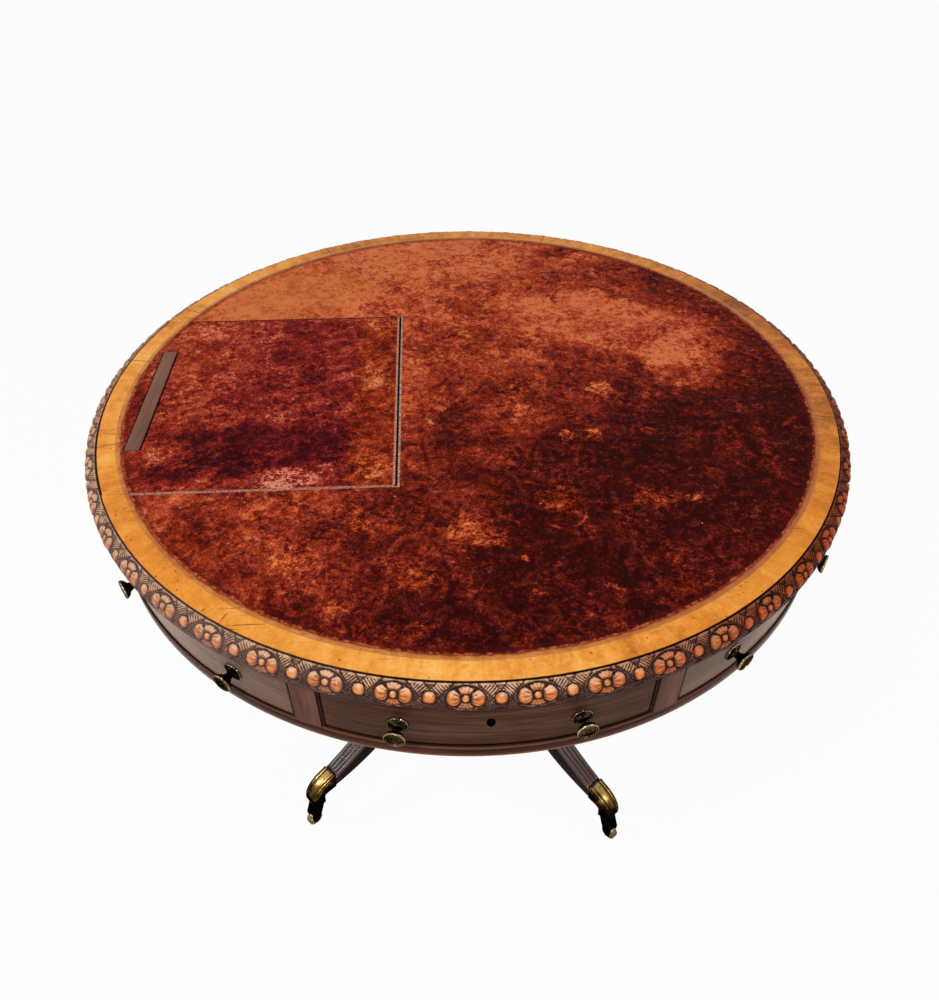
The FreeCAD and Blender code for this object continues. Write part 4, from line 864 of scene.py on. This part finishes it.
slope_patches = ((-0.21, 0.02, 0.060, 0.16, 0, -0.02), (-0.40, 0.10, 0.08, 0.11, 0, 0.08),
                 (-0.36, 0.17, 0.06, 0.035, 0, 0.08), (-0.22, 0.11, 0.055, 0.08, 0, -0.08),
                 (-0.30, -0.02, 0.05, 0.05, 0, -0.05), (-0.29, -0.155, 0.038, 0.024, -6, -0.20),
                 (-0.265, -0.130, 0.115, 0.045, 0, -0.20), (-0.375, -0.165, 0.035, 0.018, 0, -0.18),
                 (-0.33, -0.085, 0.05, 0.028, 10, -0.10), (-0.365, -0.115, 0.045, 0.016, 6, 0.12),
                 (-0.20, -0.08, 0.05, 0.10, 0, -0.04), (-0.128, -0.06, 0.03, 0.055, 0, -0.12),
                 (-0.128, 0.10, 0.03, 0.03, 0, -0.05))
slope_spots = ((-0.225, -0.188, 0.038, 0.019, 4, 0.34), (-0.240, -0.200, 0.022, 0.010, 0, 0.20),
               (-0.128, 0.025, 0.020, 0.040, 0, 0.16), (-0.126, 0.165, 0.022, 0.026, 0, 0.12),
               (-0.128, -0.168, 0.022, 0.030, 0, 0.16), (-0.26, -0.06, 0.014, 0.008, -30, 0.16),
               (-0.405, -0.125, 0.016, 0.012, 0, 0.16), (-0.232, 0.155, 0.008, 0.005, 0, -0.22),
               (-0.295, 0.060, 0.020, 0.012, 20, 0.10))
strip_start = -0.160
scratch, bleached = (0.337, -0.262, 0.064, 0.0028, 41.7), (-0.28, 0.27, 0.16, 0.10, 28)
# Rings left by cups: (x, y, radius, how pale).
cup_rings = ((0.098, -0.262, 0.028, 0.42), (-0.020, -0.352, 0.031, 0.22), (0.190, -0.385, 0.022, 0.22),
             (-0.205, -0.330, 0.024, 0.24), (-0.158, 0.040, 0.032, 0.16), (-0.285, -0.115, 0.026, 0.14))


def strayed(f, scale, detail, rough, reach):
    """Places shifted about by noise, so that the outlines drawn there wander."""
    noise = f.add("ShaderNodeTexNoise", {"Vector": f.place, "Scale": scale, "Detail": detail,
                                         "Roughness": rough})
    centred = f.add("ShaderNodeVectorMath", {0: noise.outputs["Color"], 1: (0.5, 0.5, 0.5)},
                    operation="SUBTRACT")
    shift = f.add("ShaderNodeVectorMath", {0: centred.outputs[0], 3: reach}, operation="SCALE")
    return f.add("ShaderNodeVectorMath", {0: f.place, 1: shift.outputs[0]}, operation="ADD").outputs[0]


def cup_marks(f, tone, blotch):
    """Pale broken rings where cups have stood."""
    broken = f.blend_in(f.clouds(30.0, 4.0, 0.6, 1.0), 0.0, 0.12)
    for x, y, size, strength in cup_rings:
        line = f.blend_in(f.off(f.total(f.radius(x, y), (blotch, 0.008)), size), 0.0026, 0.0006)
        tone = f.total(tone, (f.times(line, broken), strength))
    return tone


def skived_edge(f, colour):
    """The hide's dark rim against the crossbanding, frayed to a paler fringe."""
    torn = f.clouds(150.0, 5.0, 0.75)
    fray = f.total(f.radius(), (torn, 0.0085), (f.clouds(9.0, 2.0), 0.004))
    darkened = f.blend_in(fray, leather_radius - 0.0100, leather_radius - 0.0045)
    colour = f.stained(colour, darkened, 0.45, (0.075, 0.007, 0.005))
    fringe = f.blend_in(fray, leather_radius - 0.0030, leather_radius - 0.0014)
    return f.stained(colour, fringe, 0.72, f.shades(f.total(0.5, (torn, 2.4)), fringe_stops))


def rubbed_lips(f, colour):
    """Bare pale leather along the slope's near and inner edges, and a dark line along its far one."""
    tear = f.clouds(240.0, 4.0, 0.7)
    from_middle = f.calc("SUBTRACT", f.y, slope_middle)
    beside = f.blend_in(f.total(f.off(from_middle), (tear, 0.002)), slope_half + 0.0035, slope_half + 0.002)
    lip = f.times(f.blend_in(f.total(f.off(f.x, gap_x), (tear, 0.0022)), 0.0050, 0.0037), beside)
    left_of = f.blend_in(f.x, gap_x + 0.003, gap_x + 0.001)
    near_lip = f.blend_in(f.total(f.off(from_middle, -slope_half), (tear, 0.0030)), 0.0026, 0.0014)
    near_lip = f.times(f.times(near_lip, left_of), 0.9)
    far_edge = f.times(f.blend_in(f.off(from_middle, slope_half), 0.0020, 0.0008), left_of)
    colour = f.mixed(f.most(lip, near_lip), colour, f.shades(f.total(0.5, (tear, 2.2)), lip_stops))
    return f.stained(colour, far_edge, 0.8, (0.03, 0.008, 0.006)), lip, near_lip


def leather_finish(name, stops, slide, patches, spots, on_slope):
    """Worn hide: a slow slide of tone, wandering patches and spots over it, and a crisp grain."""
    f = Finish(name)
    cloud = f.clouds(15.0, 6.0, 0.62, 0.6)
    blotch = f.clouds(38.0, 7.0, 0.68, 1.1)
    fleck = f.clouds(130.0, 6.0, 0.76, 0.6)
    fibre = f.clouds(420.0, 3.0, 0.72)
    busy = f.blend_in(f.clouds(21.0, 4.0, 0.6, 0.8), -0.10, 0.12, 0.55, 1.35)
    crease = f.blend_in(f.off(f.clouds(52.0, 5.0, 0.62, 2.0)), 0.014, 0.002)
    tone = f.total(0.59, (f.x, slide[0]), (f.y, slide[1]))
    loose, close = strayed(f, 13.0, 9.0, 0.70, 0.12), strayed(f, 44.0, 6.0, 0.75, 0.050)
    for *patch, gain in patches:
        tone = f.total(tone, (f.oval(loose, *patch, 1.20, 0.76), gain))
    tone = f.add("ShaderNodeClamp", {0: tone, 1: 0.27, 2: 0.93}).outputs[0]
    speckled = f.blend_in(f.total(fleck, (fibre, 0.6)), -0.12, 0.12, 0.35, 1.45)
    lit = []
    for *spot, gain in spots:
        lit.append(f.times(f.oval(close, *spot, 1.25, 0.60), speckled))
        tone = f.total(tone, (lit[-1], gain))
    tone = f.total(cup_marks(f, tone, blotch), (cloud, 0.62), (blotch, 1.25), (f.times(fleck, busy), 1.45),
                   (fibre, 0.95), (crease, 0.09))
    tan = f.shades(tone, tan_stops)
    if on_slope:
        strip = f.blend_in(f.calc("SUBTRACT", f.total(f.x, (blotch, 0.014)), strip_start), -0.0040, 0.0040)
        warm = f.most(f.times(strip, 0.78), f.blend_in(f.total(f.x, (cloud, 0.3)), -0.28, -0.40, 0.05, 0.35))
    else:
        tone = f.total(tone, (f.oval(close, *scratch, 1.3, 0.2), 0.26))
        warm = f.blend_in(f.clouds(19.0, 5.0, 0.6, 0.8), -0.02, 0.14)
        warm = f.most(f.times(warm, 0.60), f.times(f.most(*lit), 0.55))
    colour = f.mixed(warm, f.shades(tone, stops), tan)
    if not on_slope:
        colour = f.stained(colour, f.oval(loose, *bleached, 1.3, 0.3), 0.34, (0.62, 0.19, 0.036))
    colour = skived_edge(f, colour)
    away, chance, girth = f.dots(62.0)
    speck = f.times(f.calc("LESS_THAN", away, f.times(girth, 0.080)), f.calc("GREATER_THAN", chance, 0.90))
    colour = f.stained(colour, speck, 0.7, (0.74, 0.42, 0.36))
    colour, lip, near_lip = rubbed_lips(f, colour)
    rough = f.total(0.58, (cloud, 0.35), (fleck, 0.3))
    relief = f.total((cloud, 0.4), (blotch, 0.4), (fleck, 0.30), (fibre, 0.2), (lip, 0.5), (near_lip, 0.4))
    return f.done(colour, rough, relief, 0.0008, Specular_IOR_Level=0.02)


# Shades from dark to light: sun-warmed tan, the bare fringe, the rubbed lips, and the two hides.
tan_stops = ((0.10, (0.026, 0.0022, 0.0012)), (0.28, (0.052, 0.0036, 0.0014)),
             (0.44, (0.132, 0.0100, 0.0024)), (0.58, (0.250, 0.0235, 0.0048)), (0.72, (0.40, 0.052, 0.010)),
             (0.88, (0.60, 0.116, 0.026)), (0.99, (0.74, 0.22, 0.066)))
fringe_stops = ((0.30, (0.15, 0.016, 0.007)), (0.55, (0.42, 0.062, 0.020)), (0.85, (0.64, 0.18, 0.065)))
lip_stops = ((0.25, (0.26, 0.09, 0.055)), (0.55, (0.48, 0.235, 0.155)), (0.85, (0.70, 0.44, 0.32)))
top_stops = ((0.10, (0.024, 0.0022, 0.0022)), (0.28, (0.046, 0.0036, 0.0030)),
             (0.44, (0.115, 0.0095, 0.0055)), (0.58, (0.226, 0.021, 0.0090)), (0.72, (0.365, 0.043, 0.016)),
             (0.88, (0.57, 0.098, 0.036)), (0.99, (0.70, 0.18, 0.070)))
slope_stops = ((0.10, (0.022, 0.0014, 0.0030)), (0.28, (0.046, 0.0026, 0.0056)),
               (0.44, (0.118, 0.0064, 0.0080)), (0.58, (0.228, 0.0150, 0.0105)),
               (0.72, (0.352, 0.038, 0.022)), (0.88, (0.54, 0.098, 0.050)), (0.99, (0.72, 0.27, 0.17)))
dress(leather_finish("writing_leather_top", top_stops, (-0.55, 0.62), top_patches, top_spots, False),
      "leather_top")
dress(leather_finish("writing_leather_slope", slope_stops, (0.0, 0.0), slope_patches, slope_spots, True),
      "slope_leather")

# Carved rim: a mahogany thumb moulding glued round the edge, carved with forty-six rosettes and a
# bead between each pair, fans of gouge cuts beside the beads, and a black quirk next the banding.
rim_line = ((496.4875, 774.636), (507.95, 769.4), (512.5, 758.76), (511.0125, 747.0))
rim_back = ((510.4, 747.0), (497.0, 747.0), (497.0, 753.0), (495.0, 753.0), (495.0, 774.2), (495.3, 774.6),
            (495.6, 773.0), (496.6, 773.0))
rosette_count, rosette_start_deg, pitch_radius, middle_share = 46, -3.0, 506.0, 0.455
steps_round, steps_down, upward_share = 90, 52, 0.75
# The pattern is drawn out down the moulding, a little more below its middle than above it.
drawn_below, drawn_above = 0.81, 0.90
# Millimetres along the rim and down it, and how deep each form is cut below the moulding's face.
ground_depth, groove_depth, fillet_at, fillet_depth = -2.8, -3.0, 1.6, -1.0
gouge_pitch, gouge_reach, gouge_depth, gouge_gap_depth = 2.7, 5.3, -0.75, -2.9
frame_half_along, frame_half_down, frame_depth, inside_depth = 18.9, 12.1, -0.9, -2.6
boss_radius, bead_radius, foot_height, foot_depth, head_height, head_depth = 3.6, 6.5, 3.2, -0.9, 0.35, -0.6
# Petals: middle (along, down), half width, half height and where the creases fan out, in radians.
upright_petal = (0.0, 7.9, 8.2, 4.3, (0.0, 0.38, 0.74))
level_petal = (11.6, 0.0, 7.0, 8.7, (0.0, 0.36, 0.68))


def soft(value, edge, spread):
    """One below the edge, nought above it, with a soft change between."""
    t = np.clip((edge + spread - value) / (2 * spread), 0.0, 1.0)
    return t * t * (3 - 2 * t)


def dome(away, height, fall):
    """Rounded mound: its height in the middle, falling off to the outline where away is one."""
    return height - fall * (1 - np.sqrt(np.clip(1 - away * away, 0.0, 1.0)))


def carving(u, v, middle, half_pitch, length, seed):
    """Depth of the cutting and how bright each spot is coloured, as wear together with painted light and
    shade, u along the rim and v down it.
    """
    low = (v - middle) * np.where(v > middle, drawn_below, drawn_above)
    tool = (0.15 * np.sin(u * 2.9 + seed) * np.sin(v * 2.3 - seed)
            + 0.12 * np.sin(u * 5.1 - v * 3.7 + 2 * seed))
    depth = ground_depth + tool
    wear_and_painted_light = 0.30 + 0.5 * tool

    def laid(height, shine, inside):
        """Lay a raised form over the ground where it stands higher."""
        nonlocal depth, wear_and_painted_light
        over = np.where(height > depth, inside, 0.0)
        depth = depth * (1 - over) + height * over
        wear_and_painted_light = wear_and_painted_light * (1 - over) + shine * over

    def sunk(height, inside):
        """Cut a dark groove."""
        nonlocal depth, wear_and_painted_light
        depth = depth * (1 - inside) + height * inside
        wear_and_painted_light = wear_and_painted_light * (1 - inside)

    # The plain fillet at the head, and the fans of gouge cuts beside the beads.
    laid(fillet_depth, 0.44 + 0.3 * tool, soft(np.abs(v - fillet_at), 1.15, 0.25))
    to_bead = half_pitch - np.abs(u)
    off, along = (np.abs(low) - to_bead) / 1.414, (np.abs(low) + to_bead) / 1.414
    cut = soft(np.abs(np.sin(along * math.pi / gouge_pitch + 0.4 * math.sin(seed))), 0.42, 0.30)
    # The fans are darker below the moulding's middle: painted shade for faces that look down.
    lower = 1 - 0.5 * np.clip(low / 6.0, 0, 1)
    laid(gouge_depth - 1.15 * cut - 0.018 * off * off, (0.52 - 0.42 * cut) * lower,
         soft(np.abs(off), gouge_reach, 0.35))
    sunk(gouge_gap_depth, soft(np.abs(np.abs(off) - gouge_reach - 0.6), 0.25, 0.35))
    # The rosette's oval frame and the ground inside it.
    oval = np.hypot(u / frame_half_along, low / frame_half_down)
    laid(frame_depth, 0.40, soft(np.abs(oval - 1.13), 0.05, 0.03) * (np.abs(u) < 17))
    inside = soft(oval, 1.06, 0.02)
    depth = depth * (1 - inside) + (inside_depth + tool) * inside
    wear_and_painted_light = wear_and_painted_light * (1 - inside) + (0.22 + 0.4 * tool) * inside
    sunk(groove_depth, soft(np.abs(oval - 1.06), 0.022, 0.025))
    # Four creased petals, dark cuts between them, and the boss in the middle.
    reach = np.hypot(u, low)
    from_side = np.arctan2(np.abs(low), np.abs(u))
    fade, heart = soft(reach, 13.5, 3.5), soft(reach, 6.2, 2.2)
    for spread, petal in ((math.pi / 2 - from_side, upright_petal), (from_side, level_petal)):
        out_u, out_low, wide, tall, creases = petal
        away = np.hypot((np.abs(u) - out_u) / wide, (np.abs(low) - out_low) / tall)
        notch = sum(soft(np.abs(spread - place), 0.035, 0.055) for place in creases) * fade
        laid(dome(away ** 1.2, -0.10, 1.9) - 0.75 * notch - 0.8 * heart,
             0.92 - 0.62 * np.clip(away, 0, 1) ** 5 - 0.62 * notch - 0.3 * heart, away < 1.0)
    diagonal = soft(np.abs(from_side - 0.80), 0.035, 0.06) * soft(reach, 12.5, 2.0)
    sunk(inside_depth, diagonal * soft(-reach, -4.6, 0.5))
    sunk(inside_depth, soft(np.abs(reach - boss_radius - 0.7), 0.40, 0.35))
    boss = np.clip(reach / boss_radius, 0, 1)
    laid(dome(boss, -0.15, 1.8), 1.0 - 0.5 * boss ** 4, reach < boss_radius)
    # The bead in its ring, then the plain foot and head.
    to_middle = np.hypot(to_bead, low)
    sunk(groove_depth, soft(np.abs(to_middle - bead_radius - 0.5), 0.40, 0.35))
    knop = np.clip(to_middle / bead_radius, 0, 1)
    laid(dome(knop, 0.0, 2.7), 1.0 - 0.45 * knop ** 4, to_middle < bead_radius)
    # The foot is coloured near black: painted shade under the rim's overhang.
    foot = soft(length - v, foot_height, 0.35)
    depth = depth * (1 - foot) + foot_depth * foot
    wear_and_painted_light = wear_and_painted_light * (1 - foot) + 0.02 * foot
    head = soft(v, head_height, 0.2)
    return depth * (1 - head) + head_depth * head, np.clip(wear_and_painted_light * (1 - head), 0.0, 1.0)


def rim_skin():
    """Closed ring of the moulding, cut to the carving's depth, with how bright it is coloured (wear and
    painted light) kept as a mark.
    """
    line = smooth_line(rim_line, steps_down)
    run = np.diff(line, axis=0, append=line[-1:] * 2 - line[-2:-1])
    out = np.stack([-run[:, 1], run[:, 0]], axis=1)
    out /= np.linalg.norm(out, axis=1)[:, None]
    rising = np.arange(steps_down) < steps_down * upward_share
    out[:, 0], out[:, 1] = np.abs(out[:, 0]), np.where(rising, np.abs(out[:, 1]), out[:, 1])
    v = np.concatenate([[0.0], np.cumsum(np.linalg.norm(np.diff(line, axis=0), axis=1))])
    step = 2 * math.pi / rosette_count
    pitch = step * pitch_radius
    rows, marks = [], []
    rng = np.random.default_rng(11)
    for place in range(rosette_count):
        lean, size = rng.uniform(-0.5, 0.5), rng.uniform(0.97, 1.03)
        u = (np.arange(steps_round) / steps_round - 0.5) * pitch
        uu, vv = np.meshgrid(u, v, indexing="ij")
        ease = 1 - (np.abs(uu) / (pitch / 2)) ** 4
        depth, wear_and_painted_light = carving(uu * (1 + (size - 1) * ease) + lean * ease, vv, v[-1] * middle_share,
                                pitch / 2, v[-1], rng.uniform(0, 6))
        angle = math.radians(rosette_start_deg) + (place + u / pitch) * step
        r = line[None, :, 0] + out[None, :, 0] * depth
        z = line[None, :, 1] + out[None, :, 1] * depth
        rows.append(np.stack([r * np.sin(angle)[:, None], -r * np.cos(angle)[:, None], z], axis=-1))
        marks.append(wear_and_painted_light)
    carved = np.concatenate(rows)
    wear_and_painted_light = np.concatenate(marks)
    angle = np.arctan2(carved[:, 0, 0], -carved[:, 0, 1])
    back = np.array(rim_back)
    plain = np.stack([back[None, :, 0] * np.sin(angle)[:, None], -back[None, :, 0] * np.cos(angle)[:, None],
                      np.broadcast_to(back[:, 1], (len(angle), len(back)))], axis=-1)
    blank = np.zeros((len(angle), len(back)))
    return np.concatenate([carved, plain], axis=1), np.concatenate([wear_and_painted_light, blank], axis=1)


def rim_finish(name):
    """Raised carving coloured orange by its mark and near black in the cuts, with painted highlight in cream
    where it looks up and painted shade where it looks down.
    """
    f = Finish(name)
    wear_and_painted_light = f.add("ShaderNodeAttribute", attribute_name="wear_and_painted_light").outputs["Fac"]
    patch = f.clouds(24.0, 4.0, 0.6, 0.5)
    grit = f.clouds(300.0, 5.0, 0.7)
    blotch = f.clouds(110.0, 5.0, 0.7, 0.8)
    live = f.blend_in(wear_and_painted_light, 0.02, 0.24)
    uneven = f.times(f.total((patch, 0.25), (grit, 0.40), (blotch, 0.75)), live)
    tone = f.calc("ADD", wear_and_painted_light, uneven)
    colour = f.shades(tone, ((0.02, (0.007, 0.003, 0.002)), (0.16, (0.036, 0.017, 0.012)),
                             (0.36, (0.130, 0.063, 0.044)), (0.60, (0.30, 0.092, 0.034)),
                             (0.85, (0.62, 0.175, 0.040)), (1.0, (0.80, 0.30, 0.095))))
    up = f.add("ShaderNodeSeparateXYZ", {0: f.add("ShaderNodeNewGeometry").outputs["Normal"]}).outputs[2]
    side = f.blend_in(f.total(f.x, (patch, 0.25)), 0.02, 0.34)
    # Painted highlight: cream on faces that look up, weaker to the right.
    rub_and_painted_light = f.times(f.blend_in(f.total(up, (blotch, 1.2)), 0.55, 0.98), f.blend_in(tone, 0.22, 0.60))
    rub_and_painted_light = f.times(rub_and_painted_light, f.calc("SUBTRACT", 0.66, f.times(side, 0.48)))
    colour = f.mixed(rub_and_painted_light, colour, (0.95, 0.62, 0.38))
    # Painted shade: darker red on faces that look down.
    under = f.blend_in(f.total(up, (blotch, 0.5)), 0.22, -0.30)
    colour = f.stained(colour, under, 0.72, (0.085, 0.014, 0.008))
    redder = f.mixed(1.0, colour, (0.62, 0.27, 0.16), "MULTIPLY")
    colour = f.mixed(side, colour, redder)
    dusty = f.blend_in(f.total(f.x, (patch, 0.3)), -0.08, -0.34, 0.0, 0.30)
    colour = f.mixed(dusty, colour, (0.30, 0.18, 0.15))
    behind = f.blend_in(f.total(f.y, (patch, 0.25)), -0.20, 0.20, 0.0, 0.38)
    colour = f.mixed(behind, colour, (0.36, 0.135, 0.085))
    return f.done(colour, f.total(0.30, (grit, 0.3), (wear_and_painted_light, -0.10)), f.total((grit, 1.0), (blotch, 0.5)),
                  0.0003, Specular_IOR_Level=0.04)


rim_points, rim_wear_and_light = rim_skin()
piece("carved_moulding", [(rim_points, True, True, rim_wear_and_light)], rim_finish("carved_mahogany"), "drum",
      ["carved_rim"], sharp=60.0)

# The room: a wide pale floor that keeps a soft shadow, a pale sky that the brass mirrors, three soft
# lamps above and in front, and a narrow window far to the left.
floor_half = 60


def seen_direct(f):
    """One for the rays by which the camera, metal or glass sees the surroundings."""
    path = f.add("ShaderNodeLightPath").outputs
    return f.most(path["Is Camera Ray"], path["Is Glossy Ray"], path["Is Transmission Ray"])


def studio_floor():
    f = Finish("studio_floor")
    plain = f.add("ShaderNodeBsdfDiffuse", {0: (0.86, 0.86, 0.85, 1.0)})
    lit = f.add("ShaderNodeEmission", {0: (1.0, 1.0, 1.0, 1.0), 1: 1.0})
    share = f.times(seen_direct(f), 0.95)
    both = f.add("ShaderNodeMixShader", {0: share, 1: plain.outputs[0], 2: lit.outputs[0]})
    f.add("ShaderNodeOutputMaterial", {0: both.outputs[0]})
    return f.material


def studio_world(strength):
    f = Finish("studio", bpy.data.worlds)
    level = f.add("ShaderNodeMapRange", {0: seen_direct(f), 3: strength, 4: 1.0}).outputs[0]
    f.add("ShaderNodeOutputWorld", {0: f.add("ShaderNodeBackground", {1: level}).outputs[0]})
    return f.material


def soft_lamp(name, place, aim, size, power, tall=None):
    data = bpy.data.lights.new(name, "AREA")
    data.shape, data.size, data.energy = "RECTANGLE" if tall else "DISK", size, power
    if tall:
        data.size_y = tall
    lamp = bpy.data.objects.new(name, data)
    bpy.context.scene.collection.objects.link(lamp)
    lamp.location = place
    lamp.rotation_euler = (Vector(aim) - Vector(place)).to_track_quat("-Z", "Y").to_euler()


floor_mesh = bpy.data.meshes.new("floor")
floor_corners = [(floor_half * x, floor_half * y, 0) for x, y in ((-1, -1), (1, -1), (1, 1), (-1, 1))]
floor_mesh.from_pydata(floor_corners, [], [(0, 1, 2, 3)])
floor_mesh.materials.append(studio_floor())
floor = bpy.data.objects.new("floor", floor_mesh)
bpy.context.scene.collection.objects.link(floor)
bpy.context.scene.world = studio_world(0.55)
soft_lamp("key", (-1.1, -1.5, 2.9), (0, 0, 0.6), size=0.5, power=28)
soft_lamp("fill", (1.7, -1.3, 2.2), (0, 0, 0.6), size=0.9, power=12)
soft_lamp("front", (-0.5, -3.0, 1.1), (0, 0, 0.5), size=0.6, power=14)
soft_lamp("side_window", (-2.4, -0.16, 2.16), (-0.19, -0.16, 0.15), size=0.12, power=9, tall=0.8)

# Camera: as the photograph was taken, from close in front of the table at about shoulder height,
# looking down on it and a little to the right.
camera_place, camera_tilt_deg, camera_turn_deg = (-0.0448, -0.9587, 1.4360), 42.49, -2.8
eye = bpy.data.cameras.new("eye")
eye.sensor_width, eye.lens = 36.0, 29.66
camera = bpy.data.objects.new("camera", eye)
bpy.context.scene.collection.objects.link(camera)
camera.location = camera_place
camera.rotation_euler = (math.radians(90 - camera_tilt_deg), 0.0, math.radians(camera_turn_deg))
bpy.context.scene.camera = camera
bpy.context.scene.view_settings.view_transform = "Standard"
